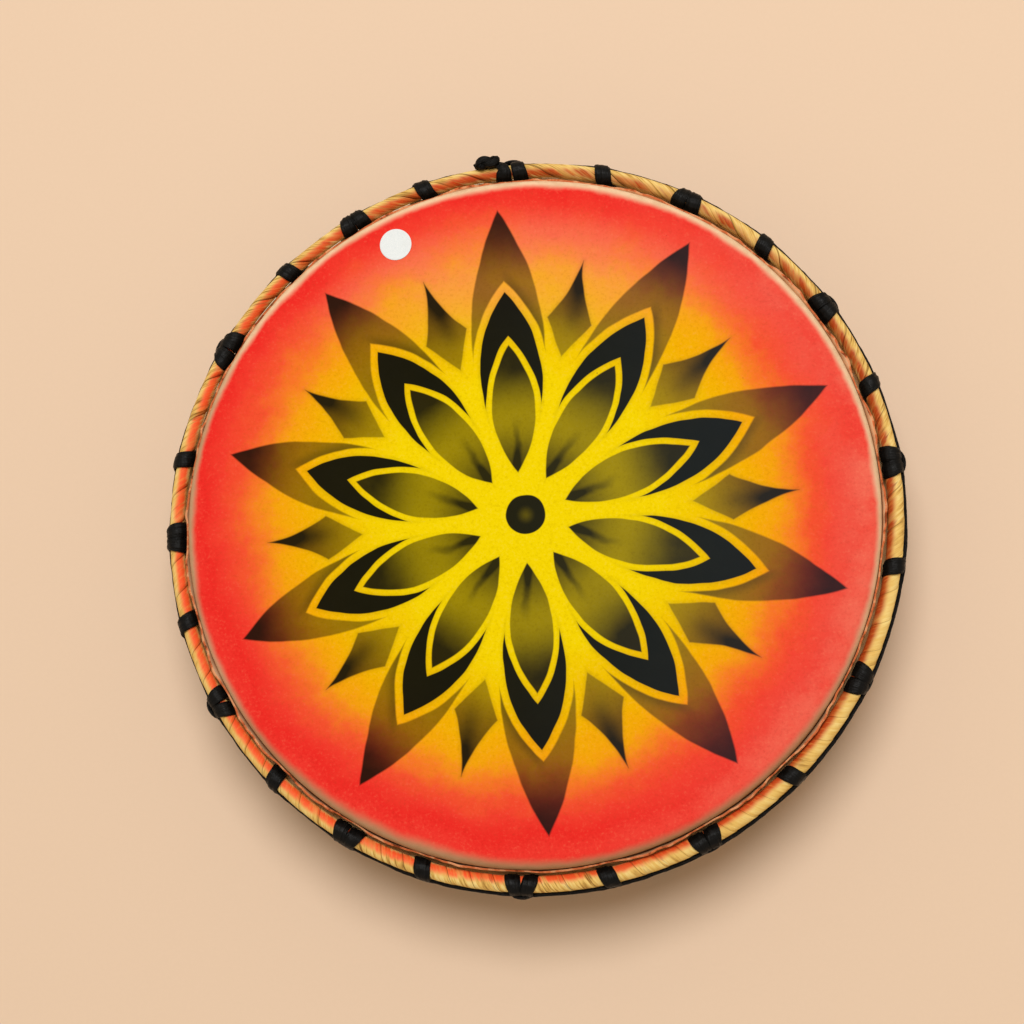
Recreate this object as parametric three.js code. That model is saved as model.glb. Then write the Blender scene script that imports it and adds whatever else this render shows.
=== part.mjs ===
// A rope-tuned hand drum: a straight wooden frame, a painted skin head lapped on a flesh ring, a crown ring wound
// with leaf strip, and one rope laced between the crown ring and a lower ring held under a foot hoop.
// Millimetres, +Z up. The drum lies on its open back: z = 0 is the frame's bottom edge and the head faces up.
import * as THREE from "three";

// Frame
const HEAD_RADIUS = 200; // outside of the frame
const FRAME_DEPTH = 85; // bottom edge to bearing edge
const FRAME_WALL = 12;
const BEARING_ROUND = 5.5; // outer rounding of the bearing edge
const BEARING_BEVEL = 6; // drop of the bevel inside the bearing edge
const FOOT_WALL = 9;
const FOOT_HEIGHT = 12;
const FOOT_CHAMFER = 2.5;

// Head
const SKIN = 0.8;
const LIP_GAP = 0.4; // between the collar and the lip that is folded back up along it
const LIP_FOLD = 1.2; // radius of the fold at the lip's foot
const LIP_RISE = 6; // cut edge above the crown ring's centre
const COLLAR_FLARE = 1.4; // how far the collar stands off the frame at the flesh ring

// Rings
const FLESH_ROD = 5;
const CROWN_CORE = 6;
const CROWN_DROP = 13; // top of the head to the crown ring's centre
const LEAF = 0.5; // thickness of the leaf strip
const LEAF_TURNS = 24;
const LEAF_GAP = 0.6; // between neighbouring turns
const LOWER_ROD = 7.6;
const LOWER_INSET = 2; // the lower ring's centre from the foot hoop's outside

// Lacing rope: flat where it lies on a ring, rounder in its free legs
const ROPE_FLAT_WIDTH = 8.6;
const ROPE_FLAT_THICK = 1.8;
const ROPE_LEG_WIDTH = 5;
const ROPE_LEG_THICK = 3;
const ROPE_PINCH_WIDTH = 6; // where a hitch's bar holds the leg down
const ROPE_PINCH_THICK = 2;
const ROPE_BAR_WIDTH = 4.6; // the bar across the two legs of a hitch
const ROPE_EXIT_BEND = 5.5; // bend where a turn leaves the crown ring downwards
const ROPE_FLATTENS = 60; // degrees round a ring over which the leg flattens out
const TURN_PITCH = 9.6; // how far a turn climbs along the crown ring
const LOWER_PITCH = 8;
const HITCH_SPREAD = 5; // how far a hitch's two halves spread under the ring
const HITCH_KNEE = 3.2; // bend from under the ring into the bar
const FLOOR_GAP = 1.5; // from the rope's lowest turns to the surface that the drum stands on

// Knot at the rope's ends, and the paper dot on the head
const KNOT_WIDTH = 12;
const KNOT_DEPTH = 6.5;
const KNOT_HEIGHT = 9.6;
const KNOT_OFFSET = 14; // along the ring from the first hitch
const KNOT_AROUND = 45; // where it lies on the crown ring, degrees above its outer side
const KNOT_GROOVE = 0.8; // where one end passes over the other
const DOT_DIAMETER = 19;
const DOT_THICK = 0.3;
const DOT_INSET = 18.9; // its centre from the frame's outside
const DOT_AZIMUTH = 115.7; // degrees from +X

// Clearances
const SEAT = 0.3; // between pieces that bear on each other
const LEAF_SEAT = 0.5; // between the leaf strip and the ring that it is wound on
const LASH_GAP = 0.65; // between the rope and a ring
const ROPE_GAP = 0.7; // between two stretches of the rope that cross

// Where the lacing meets the crown ring, degrees from +X; a double hitch and a single turn by turns, hitch first
const LASHINGS = [
  92.9, 78.0, 63.5, 48.9, 35.1, 20.5, 7.8, -8.8, -27.2, -45.3, -61.6, -77.7,
  -91.3, -106.9, -120.0, -134.5, -149.6, -163.8, -177.7, -190.5, -210.1, -226.2, -239.7, -252.4,
];
const LACING_WAY = -1; // the lacing goes round clockwise, seen from above

// A turn covers three quarters of a ring between its two legs.
const QUARTERS = 270;

// The rope's run from the knot into the first hitch: share of the way from the hitch, and degrees round the ring
const KNOT_RUN = [
  [1, 45],
  [0.78, 48],
  [0.58, 56],
];

// Facets
const HOOP_SIDES = 60;
const RING_SIDES = 72;
const ROD_SIDES = 8;
const HIDDEN_ROD_SIDES = 5;
const CROWN_STEPS = 8; // stations of the rope on three quarters of the crown ring
const LOWER_STEPS = 7; // stations of the rope on three quarters of the lower ring
const LEAF_STEPS = 8; // stations of the leaf strip in a turn
const LEAF_SPANS = 3; // facets across the leaf strip
const DOT_SIDES = 32;
const KNOT_SIDES = 16;
const KNOT_RINGS = 10;

const radians = THREE.MathUtils.degToRad;
const clamp = THREE.MathUtils.clamp;
const mix = THREE.MathUtils.lerp;

// Places worked out from the sizes above, in the radial plane: x is the radius and y the height
const frameInside = HEAD_RADIUS - FRAME_WALL;
const bearingRound = Math.min(BEARING_ROUND, FRAME_WALL / 2);
const bearingCentre = new THREE.Vector2(HEAD_RADIUS - bearingRound, FRAME_DEPTH - bearingRound);
const headTop = FRAME_DEPTH + SEAT + SKIN;
const lane = LASH_GAP + ROPE_FLAT_THICK + LASH_GAP;

const crownTube = CROWN_CORE / 2 + LEAF_SEAT + LEAF;
const crownHeight = headTop - CROWN_DROP;
const fleshReach = FLESH_ROD / 2 + SEAT + SKIN / 2;
const fleshCentre = new THREE.Vector2(
  HEAD_RADIUS + SEAT + SKIN / 2 + COLLAR_FLARE + fleshReach,
  crownHeight - crownTube - lane - SKIN / 2 - fleshReach,
);

// The collar is the straight line that touches the bearing edge's arc and the fold's arc on opposite sides.
const bearingReach = bearingRound + SEAT + SKIN / 2;
const collarSpan = fleshCentre.clone().sub(bearingCentre);
const collarTilt = collarSpan.angle() - 2 * Math.PI + Math.acos((bearingReach + fleshReach) / collarSpan.length());
const collarNormal = new THREE.Vector2(Math.cos(collarTilt), Math.sin(collarTilt));
const collarFoot = fleshCentre.clone().addScaledVector(collarNormal, -fleshReach);

// The lip runs parallel to the collar, one gap outside it.
const lipFoldHeight = fleshCentre.y + fleshReach + LIP_FOLD;
const lipFoldSide = SKIN + LIP_GAP + LIP_FOLD - (lipFoldHeight - collarFoot.y) * collarNormal.y;
const lipFold = new THREE.Vector2(collarFoot.x + lipFoldSide / collarNormal.x, lipFoldHeight);
const lipFoot = lipFold.clone().addScaledVector(collarNormal, -LIP_FOLD);
const lipRadiusAt = (height) => lipFoot.x - (height - lipFoot.y) * Math.tan(collarTilt);
const lipOutside = lipRadiusAt(crownHeight) + SKIN / 2 / collarNormal.x;

const crown = { radius: lipOutside + lane + crownTube, height: crownHeight, tube: crownTube };
const footRadius = HEAD_RADIUS + SEAT + FOOT_WALL;
const lowerTube = LOWER_ROD / 2;
const lowerHeight = FLOOR_GAP + ROPE_FLAT_THICK + LASH_GAP + lowerTube;
const lower = { radius: footRadius - LOWER_INSET, height: lowerHeight, tube: lowerTube };
const footBottom = lower.height + lowerTube + lane;

// Points of an arc in the radial plane, angles in degrees
function arc(centre, radius, from, to, steps) {
  return Array.from({ length: steps + 1 }, (_, i) => {
    const angle = radians(mix(from, to, i / steps));
    return new THREE.Vector2(centre.x + radius * Math.cos(angle), centre.y + radius * Math.sin(angle));
  });
}

// A solid turned from a profile that starts and ends on the axis or closes on itself
function turned(profile, sides) {
  const outward = THREE.ShapeUtils.area(profile) > 0 ? profile : [...profile].reverse();
  const points = profile[0].x === 0 ? outward : [...outward, outward[0]];
  return new THREE.LatheGeometry(points, sides).rotateX(Math.PI / 2);
}

// A ring of round rod
function rodRing(radius, height, rod, sides, rodSides) {
  const centre = new THREE.Vector2(radius, height);
  const profile = arc(centre, rod / 2, 0, 360 - 360 / rodSides, rodSides - 1);
  return turned(profile, sides);
}

// A closed solid from rings of points, each ring with as many points, capped at both ends
function skinned(rings, capTriangles) {
  const sides = rings[0].length;
  const corners = rings.flat().flatMap((point) => point.toArray());
  const faces = [];
  for (let i = 0; i + 1 < rings.length; i += 1) {
    for (let j = 0; j < sides; j += 1) {
      const a = i * sides + j;
      const b = i * sides + ((j + 1) % sides);
      faces.push(a, b, b + sides, a, b + sides, a + sides);
    }
  }
  const last = (rings.length - 1) * sides;
  for (const [a, b, c] of capTriangles) {
    faces.push(a, c, b, last + a, last + b, last + c);
  }
  const geometry = new THREE.BufferGeometry();
  geometry.setAttribute("position", new THREE.Float32BufferAttribute(corners, 3));
  geometry.setIndex(faces);
  return geometry;
}

// Least distance between the surface points of two rings at least `apart` rings from each other
function leastGap(rings, apart) {
  let least = Infinity;
  const reach = rings.map((ring) => new THREE.Sphere().setFromPoints(ring));
  for (let i = 0; i < rings.length; i += 1) {
    for (let k = i + apart; k < rings.length; k += 1) {
      const free = reach[i].center.distanceTo(reach[k].center) - reach[i].radius - reach[k].radius;
      if (free > least) continue;
      for (const p of rings[i]) {
        for (const q of rings[k]) {
          least = Math.min(least, p.distanceTo(q));
        }
      }
    }
  }
  return least;
}

function frameShell() {
  const profile = [
    new THREE.Vector2(frameInside, 0),
    new THREE.Vector2(HEAD_RADIUS, 0),
    ...arc(bearingCentre, bearingRound, 0, 90, 4),
    new THREE.Vector2(frameInside, FRAME_DEPTH - BEARING_BEVEL),
  ];
  return turned(profile, HOOP_SIDES);
}

function footHoop() {
  const inside = HEAD_RADIUS + SEAT;
  const top = footBottom + FOOT_HEIGHT;
  const chamfer = Math.min(FOOT_CHAMFER, FOOT_WALL / 2, FOOT_HEIGHT / 2);
  const profile = [
    new THREE.Vector2(inside, footBottom),
    new THREE.Vector2(footRadius, footBottom),
    new THREE.Vector2(footRadius, top - chamfer),
    new THREE.Vector2(footRadius - chamfer, top),
    new THREE.Vector2(inside, top),
  ];
  return turned(profile, HOOP_SIDES);
}

// The skin: flat head, bearing edge, collar, lap round the flesh ring, and the cut edge back up as a lip.
// Each side is its own run of points, because a fold's inside and outside have different radii.
function drumHead() {
  const tilt = THREE.MathUtils.radToDeg(collarTilt);
  const lipLength = (crownHeight + LIP_RISE - lipFoot.y) / Math.cos(collarTilt);
  const lipWay = new THREE.Vector2(-collarNormal.y, collarNormal.x);
  const side = (out) => {
    const edge = arc(lipFold, LIP_FOLD + out, 270, 180 + tilt, 2);
    return [
      new THREE.Vector2(0, headTop - SKIN / 2 + out),
      ...arc(bearingCentre, bearingReach + out, 90, tilt, 3),
      ...arc(fleshCentre, fleshReach - out, 180 + tilt, 450, 6),
      ...edge,
      edge[2].clone().addScaledVector(lipWay, lipLength),
    ];
  };
  return turned([...side(SKIN / 2), ...side(-SKIN / 2).reverse()], HOOP_SIDES);
}

const fleshRing = () => rodRing(fleshCentre.x, fleshCentre.y, FLESH_ROD, HOOP_SIDES, HIDDEN_ROD_SIDES);
const crownCore = () => rodRing(crown.radius, crown.height, CROWN_CORE, RING_SIDES, HIDDEN_ROD_SIDES);
const lowerRing = () => rodRing(lower.radius, lower.height, LOWER_ROD, RING_SIDES, ROD_SIDES);

const upright = (azimuth, radius, height) =>
  new THREE.Vector3(radius * Math.cos(azimuth), radius * Math.sin(azimuth), height);

// The leaf strip: one unbroken helix round the crown core, as wide along the ring as its pitch less a gap.
// It goes clockwise, seen from above, as it climbs the ring's outer side.
function crownWrap() {
  const pitch = (2 * Math.PI) / LEAF_TURNS;
  const width = pitch - LEAF_GAP / crown.radius;
  const inside = crown.tube - LEAF;
  const steps = (LEAF_TURNS - 1) * LEAF_STEPS;
  const place = (azimuth, around, reach) =>
    upright(azimuth, crown.radius + reach * Math.cos(around), crown.height + reach * Math.sin(around));
  const rings = [];
  for (let i = 0; i <= steps; i += 1) {
    const turn = i / LEAF_STEPS;
    const spans = Array.from({ length: LEAF_SPANS + 1 }, (_, s) => s / LEAF_SPANS);
    const across = spans.map((share) => -turn * pitch - width * share);
    const around = 2 * Math.PI * turn;
    const under = across.map((azimuth) => place(azimuth, around, inside));
    const over = across.map((azimuth) => place(azimuth, around, crown.tube));
    rings.push([...under, ...over.reverse()]);
  }
  const sides = rings[0].length;
  const caps = [];
  for (let s = 0; s < LEAF_SPANS; s += 1) {
    caps.push([s, s + 1, sides - 1 - s], [s + 1, sides - 2 - s, sides - 1 - s]);
  }
  const nextTurn = rings.slice(LEAF_STEPS).map((ring, i) => {
    const far = rings[i][LEAF_SPANS].distanceTo(ring[0]);
    return Math.min(far, rings[i][LEAF_SPANS + 1].distanceTo(ring[sides - 1]));
  });
  const least = Math.min(...nextTurn);
  console.log(`crown_ring_wrap: ${rings.length} stations, least gap to itself ${least.toFixed(2)} mm`);
  return skinned(rings, caps);
}

// A station of the rope: its centre, the direction of its thickness, its width and its thickness
function station(azimuth, radius, height, normal, width, thick) {
  const flat = upright(azimuth, normal.x, normal.y);
  return { centre: upright(azimuth, radius, height), normal: flat, width, thick };
}

// A station on a ring. Round the rod, 0 is the outer side, 90 the top, 180 the inner side and 270 the underside.
function onRing(ring, azimuth, along, around, width, thick) {
  const reach = ring.tube + LASH_GAP + thick / 2;
  const normal = new THREE.Vector2(Math.cos(radians(around)), Math.sin(radians(around)));
  const turn = azimuth + (LACING_WAY * along) / ring.radius;
  return station(turn, ring.radius + reach * normal.x, ring.height + reach * normal.y, normal, width, thick);
}

// How far the rope has flattened on a ring, from 0 in the leg to 1
const flattened = (around) => clamp(around / ROPE_FLATTENS, 0, 1);
const degreesOnCrown = Array.from({ length: CROWN_STEPS + 1 }, (_, i) => (QUARTERS * i) / CROWN_STEPS);

// A single turn: up the outer side, over, down inside, out underneath, and down in a short bend
function singleTurn(azimuth) {
  const along = (around) => ((around - 90) / 360) * TURN_PITCH;
  const turn = degreesOnCrown.map((around) => {
    const flat = flattened(around);
    const width = mix(ROPE_LEG_WIDTH, ROPE_FLAT_WIDTH, flat);
    return onRing(crown, azimuth, along(around), around, width, mix(ROPE_LEG_THICK, ROPE_FLAT_THICK, flat));
  });
  const under = crown.height - crown.tube - LASH_GAP - ROPE_FLAT_THICK / 2;
  const exit = azimuth + (LACING_WAY * along(QUARTERS)) / crown.radius;
  const bend = arc(new THREE.Vector2(crown.radius, under - ROPE_EXIT_BEND), ROPE_EXIT_BEND, 90, 0, 2).slice(1);
  const normals = arc(new THREE.Vector2(), 1, 90, 0, 2).slice(1);
  return [
    ...turn,
    ...bend.map((p, i) => station(exit, p.x, p.y, normals[i], ROPE_LEG_WIDTH, ROPE_LEG_THICK)),
  ];
}

// A double hitch: two turns that mirror each other, joined by a bar across their legs
function doubleHitch(azimuth, first) {
  const barReach = crown.tube + LASH_GAP + ROPE_PINCH_THICK + ROPE_GAP + ROPE_PINCH_THICK / 2;
  const barHeight = crown.height - crown.tube - LASH_GAP - ROPE_FLAT_THICK;
  const underHeight = barHeight + ROPE_FLAT_THICK / 2;
  const spread = (around, width) => {
    const past = clamp((around - 90) / 180, 0, 1);
    return width / 2 + ROPE_GAP / 2 + HITCH_SPREAD * past * past;
  };
  const half = (sign) => {
    const turn = degreesOnCrown.map((around) => {
      const flat = flattened(around);
      const width = mix(ROPE_PINCH_WIDTH, ROPE_FLAT_WIDTH, flat);
      const thick = mix(ROPE_PINCH_THICK, ROPE_FLAT_THICK, flat);
      return onRing(crown, azimuth, sign * spread(around, width), around, width, thick);
    });
    const knee = [0, 0.5, 1].map((bent) => {
      const angle = (bent * Math.PI) / 2;
      const along = spread(QUARTERS, ROPE_FLAT_WIDTH) - HITCH_KNEE * (1 - Math.cos(angle));
      const reach = barReach - HITCH_KNEE * (1 - Math.sin(angle));
      const height = mix(underHeight, barHeight, bent);
      const normal = new THREE.Vector2(bent, bent - 1).normalize();
      const width = mix(ROPE_LEG_WIDTH, ROPE_BAR_WIDTH, bent);
      const kneeAzimuth = azimuth + (LACING_WAY * sign * along) / crown.radius;
      return station(kneeAzimuth, crown.radius + reach, height, normal, width, ROPE_PINCH_THICK);
    });
    return [...turn, ...knee];
  };
  const middle = new THREE.Vector2(1, 0);
  const bar = station(azimuth, crown.radius + barReach, barHeight, middle, ROPE_BAR_WIDTH, ROPE_PINCH_THICK);
  const left = first ? fromKnot(azimuth, half(-1)) : half(-1);
  return [...left, bar, ...half(1).reverse()];
}

// The first hitch starts at the knot, on the ring's outer side, in place of a leg from below.
function fromKnot(azimuth, turn) {
  const start = KNOT_WIDTH / 2 + SEAT - KNOT_OFFSET;
  const run = KNOT_RUN.map(([share, around]) =>
    onRing(crown, azimuth, start * share, around, ROPE_BAR_WIDTH, ROPE_PINCH_THICK),
  );
  const taken = degreesOnCrown.filter((around) => around < ROPE_FLATTENS).length;
  return [...run, ...turn.slice(taken)];
}

// A turn on the lower ring: in under the foot hoop, over the ring, down inside, out underneath and up outside
function lowerTurn(azimuth) {
  const along = (around) => ((around - 225) / QUARTERS) * LOWER_PITCH;
  const bendReach = LASH_GAP + ROPE_FLAT_THICK / 2;
  const entry = azimuth + (LACING_WAY * along(90)) / lower.radius;
  const bend = [0, -45].map((angle) => {
    const normal = new THREE.Vector2(Math.cos(radians(angle)), Math.sin(radians(angle)));
    const width = mix(ROPE_LEG_WIDTH, ROPE_PINCH_WIDTH, -angle / 90);
    const place = normal.clone().multiplyScalar(bendReach);
    return station(entry, footRadius + place.x, footBottom + place.y, normal, width, ROPE_FLAT_THICK);
  });
  const turn = Array.from({ length: LOWER_STEPS + 1 }, (_, i) => {
    const around = 90 + (QUARTERS * i) / LOWER_STEPS;
    const flat = flattened(360 - around);
    const width = mix(ROPE_LEG_WIDTH, ROPE_PINCH_WIDTH, flat);
    return onRing(lower, azimuth, along(around), around, width, mix(ROPE_LEG_THICK, ROPE_FLAT_THICK, flat));
  });
  return [...bend, ...turn];
}

const knotAzimuth = radians(LASHINGS[0]) - (LACING_WAY * KNOT_OFFSET) / crown.radius;
const knotOut = Math.cos(radians(KNOT_AROUND));
const knotUp = Math.sin(radians(KNOT_AROUND));
const knotReach = crown.tube + SEAT + Math.hypot((KNOT_DEPTH / 2) * knotOut, (KNOT_HEIGHT / 2) * knotUp);
const knotRadius = crown.radius + knotReach * knotOut;
const knotHeight = crown.height + knotReach * knotUp;

// The whole lacing: from the knot round the drum and up to the knot again
function lacingStations() {
  const route = LASHINGS.flatMap((degrees, i) => {
    const here = radians(degrees);
    const next = radians(i + 1 < LASHINGS.length ? LASHINGS[i + 1] : LASHINGS[0] - 360);
    const lashing = i % 2 === 0 ? doubleHitch(here, i === 0) : singleTurn(here);
    return [...lashing, ...lowerTurn((here + next) / 2)];
  });
  const below = knotHeight - KNOT_HEIGHT / 2 - SEAT;
  const end = station(knotAzimuth, knotRadius, below, new THREE.Vector2(1, 0), ROPE_LEG_WIDTH, ROPE_LEG_THICK);
  return [...route, end];
}

// The rope's section: six corners of a flattened round, in shares of its width and thickness
const ROPE_SECTION = [
  [0.5, 0],
  [0.3, 0.5],
  [-0.3, 0.5],
  [-0.5, 0],
  [-0.3, -0.5],
  [0.3, -0.5],
];

function lacingRope() {
  const stations = lacingStations();
  const chord = (i, k) => stations[k].centre.clone().sub(stations[i].centre).normalize();
  const flip = new THREE.Quaternion();
  let before = null;
  let normalBefore = null;
  const rings = stations.map(({ centre, normal, width, thick }, i) => {
    const from = chord(Math.max(i - 1, 0), Math.max(i, 1));
    const to = chord(Math.min(i, stations.length - 2), Math.min(i + 1, stations.length - 1));
    const way = from.add(to).normalize();
    const across = new THREE.Vector3().crossVectors(normal, way).normalize();
    const out = new THREE.Vector3().crossVectors(way, across);
    if (before && normalBefore.applyQuaternion(flip.setFromUnitVectors(before, way)).dot(out) < 0) {
      out.negate();
      across.negate();
    }
    before = way;
    normalBefore = out.clone();
    return ROPE_SECTION.map(([w, t]) =>
      centre.clone().addScaledVector(across, w * width).addScaledVector(out, t * thick),
    );
  });
  console.log(`lacing_rope: ${rings.length} stations, least gap to itself ${leastGap(rings, 5).toFixed(2)} mm`);
  const fan = [1, 2, 3, 4].map((j) => [0, j, j + 1]);
  return skinned(rings, fan);
}

// The knot: a squat lump with a slanting groove round it
function endKnot() {
  const geometry = new THREE.SphereGeometry(1, KNOT_SIDES, KNOT_RINGS);
  const half = new THREE.Vector3(KNOT_WIDTH / 2, KNOT_HEIGHT / 2, KNOT_DEPTH / 2);
  const corners = geometry.attributes.position;
  const point = new THREE.Vector3();
  for (let i = 0; i < corners.count; i += 1) {
    point.fromBufferAttribute(corners, i).multiply(half);
    const fromGroove = (point.x - point.y / 2) / (KNOT_DEPTH / 4);
    const sunk = KNOT_GROOVE * Math.exp(-fromGroove * fromGroove);
    point.setLength(Math.max(point.length() - sunk, KNOT_GROOVE));
    corners.setXYZ(i, point.x, point.y, point.z);
  }
  return geometry.rotateX(Math.PI / 2);
}

function finish(color, roughness, metalness = 0) {
  return new THREE.MeshStandardMaterial({ color, roughness, metalness });
}

const drum = new THREE.Group();

function add(name, geometry, material) {
  const mesh = new THREE.Mesh(geometry, material);
  mesh.name = name;
  drum.add(mesh);
  return mesh;
}

add("frame_shell", frameShell(), finish(0x8a5a33, 0.55));
add("foot_hoop", footHoop(), finish(0x6f4426, 0.55));
add("drum_head", drumHead(), finish(0xe8502e, 0.6));
add("flesh_ring", fleshRing(), finish(0x8c8c8c, 0.4, 0.9));
add("crown_ring_core", crownCore(), finish(0xb98d52, 0.6));
add("crown_ring_wrap", crownWrap(), finish(0xe0bd70, 0.65));
add("lower_ring", lowerRing(), finish(0xc39a5e, 0.6));
add("lacing_rope", lacingRope(), finish(0x0d0d0d, 0.6));

const knot = add("rope_end_knot", endKnot(), finish(0x0d0d0d, 0.6));
knot.position.copy(upright(knotAzimuth, knotRadius, knotHeight));
knot.rotation.z = knotAzimuth + Math.PI / 2;

const dotRadius = DOT_DIAMETER / 2;
const dot = new THREE.CylinderGeometry(dotRadius, dotRadius, DOT_THICK, DOT_SIDES).rotateX(Math.PI / 2);
const dotHeight = headTop + SEAT + DOT_THICK / 2;
const dotPlace = upright(radians(DOT_AZIMUTH), HEAD_RADIUS - DOT_INSET, dotHeight);
add("paper_dot", dot, finish(0xf2f2f0, 0.7)).position.copy(dotPlace);

export default drum;
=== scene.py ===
"""A rope-tuned hand drum with a flower stencilled on its goatskin head.

The drum lies on its open back with the head up. Lengths are metres and +Z is up. Every piece takes its place
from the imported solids, and the sizes that a solid's box can't give are fields of the class that needs them.
"""
import logging
import math
from dataclasses import dataclass, field
from enum import Enum

import bmesh
import bpy
import numpy as np
from mathutils import Matrix, Vector


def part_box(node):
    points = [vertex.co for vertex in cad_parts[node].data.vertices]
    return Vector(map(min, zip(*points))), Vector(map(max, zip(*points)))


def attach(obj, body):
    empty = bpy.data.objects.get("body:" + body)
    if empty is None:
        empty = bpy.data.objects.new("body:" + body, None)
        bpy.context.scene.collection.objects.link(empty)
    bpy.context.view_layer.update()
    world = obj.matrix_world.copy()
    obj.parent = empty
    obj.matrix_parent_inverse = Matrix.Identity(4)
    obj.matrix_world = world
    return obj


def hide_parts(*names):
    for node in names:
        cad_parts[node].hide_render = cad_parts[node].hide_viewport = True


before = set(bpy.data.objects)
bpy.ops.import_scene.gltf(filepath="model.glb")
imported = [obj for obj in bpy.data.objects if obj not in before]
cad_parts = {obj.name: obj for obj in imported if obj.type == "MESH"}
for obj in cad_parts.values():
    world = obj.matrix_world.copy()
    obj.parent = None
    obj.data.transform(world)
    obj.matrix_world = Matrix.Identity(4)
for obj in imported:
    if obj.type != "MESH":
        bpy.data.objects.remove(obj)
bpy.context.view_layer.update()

LOG = logging.getLogger("hand_drum")
BODY = "root"
MM = 0.001
FULL_TURN = 2 * math.pi
MERGE_WITHIN = 1e-6
FOLDS_ROUND = 2.2
FOLDS_ALONG = 110
FULL_DEGREES = 360
ON_TOP = 90

Colour = tuple[float, float, float]
Sockets = dict[str | int, object]
Pairs = tuple[tuple[float, float], ...]
Waves = tuple[tuple[float, range, int], ...]


def screen(red: int, green: int, blue: int) -> Colour:
    """Turn a colour as it shows on a screen into linear light.

    Args:
        red: Red, 0 to 255.
        green: Green, 0 to 255.
        blue: Blue, 0 to 255.

    Returns:
        The colour in linear light, each part 0 to 1.
    """
    shares = np.array([red, green, blue]) / 255
    linear = np.where(shares <= 0.04045, shares / 12.92, ((shares + 0.055) / 1.055) ** 2.4)
    return tuple(float(part) for part in linear)


class Signal:
    """A value on a wire between nodes, which takes part in sums like a number."""

    def __init__(self, wiring: "Wiring", socket: bpy.types.NodeSocket) -> None:
        """Hold the tree that the value belongs to and the output socket that gives it."""
        self.wiring = wiring
        self.socket = socket

    def __add__(self, other: "Value") -> "Signal":
        """The sum."""
        return self.wiring.reckon("ADD", self, other)

    def __radd__(self, other: "Value") -> "Signal":
        """The sum, with the number first."""
        return self.wiring.reckon("ADD", other, self)

    def __sub__(self, other: "Value") -> "Signal":
        """The difference."""
        return self.wiring.reckon("SUBTRACT", self, other)

    def __rsub__(self, other: "Value") -> "Signal":
        """The difference, with the number first."""
        return self.wiring.reckon("SUBTRACT", other, self)

    def __mul__(self, other: "Value") -> "Signal":
        """The product."""
        return self.wiring.reckon("MULTIPLY", self, other)

    def __truediv__(self, other: "Value") -> "Signal":
        """The quotient."""
        return self.wiring.reckon("DIVIDE", self, other)

    def __rtruediv__(self, other: "Value") -> "Signal":
        """The quotient, with the number first."""
        return self.wiring.reckon("DIVIDE", other, self)

    def __neg__(self) -> "Signal":
        """The value with its sign changed."""
        return self.wiring.reckon("MULTIPLY", self, -1.0)

    def __abs__(self) -> "Signal":
        """The value without its sign."""
        return self.wiring.reckon("ABSOLUTE", self)

    def sine(self) -> "Signal":
        """The sine of an angle."""
        return self.wiring.reckon("SINE", self)

    def cosine(self) -> "Signal":
        """The cosine of an angle."""
        return self.wiring.reckon("COSINE", self)

    def facing(self, azimuth: float) -> "Signal":
        """How far an angle faces an azimuth, from 1 towards it to -1 away from it."""
        return (self - azimuth).cosine()

    def hypot(self, other: "Value") -> "Signal":
        """The length of the long side over two short ones."""
        return self.wiring.reckon("SQRT", self * self + other * other)

    def angle_to(self, other: "Signal") -> "Signal":
        """The angle of a point from the first axis, where this value is its second part."""
        return self.wiring.reckon("ARCTAN2", self, other)

    def least(self, other: "Value") -> "Signal":
        """The smaller of two values."""
        return self.wiring.reckon("MINIMUM", self, other)

    def most(self, other: "Value") -> "Signal":
        """The larger of two values."""
        return self.wiring.reckon("MAXIMUM", self, other)

    def folded(self, half: float) -> "Signal":
        """The value brought between minus and plus a half width by whole steps."""
        return self.wiring.reckon("WRAP", self, half, -half)

    def rise(self, low: float, high: float) -> "Signal":
        """A soft step from 0 at one value to 1 at another."""
        return self.wiring.spread(self, (low, high), (0.0, 1.0), "SMOOTHSTEP")

    def span(self, low: float, high: float, at_low: float, at_high: float) -> "Signal":
        """A straight line between two values, level beyond them."""
        return self.wiring.spread(self, (low, high), (at_low, at_high), "LINEAR")


Value = Signal | float | int


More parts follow.
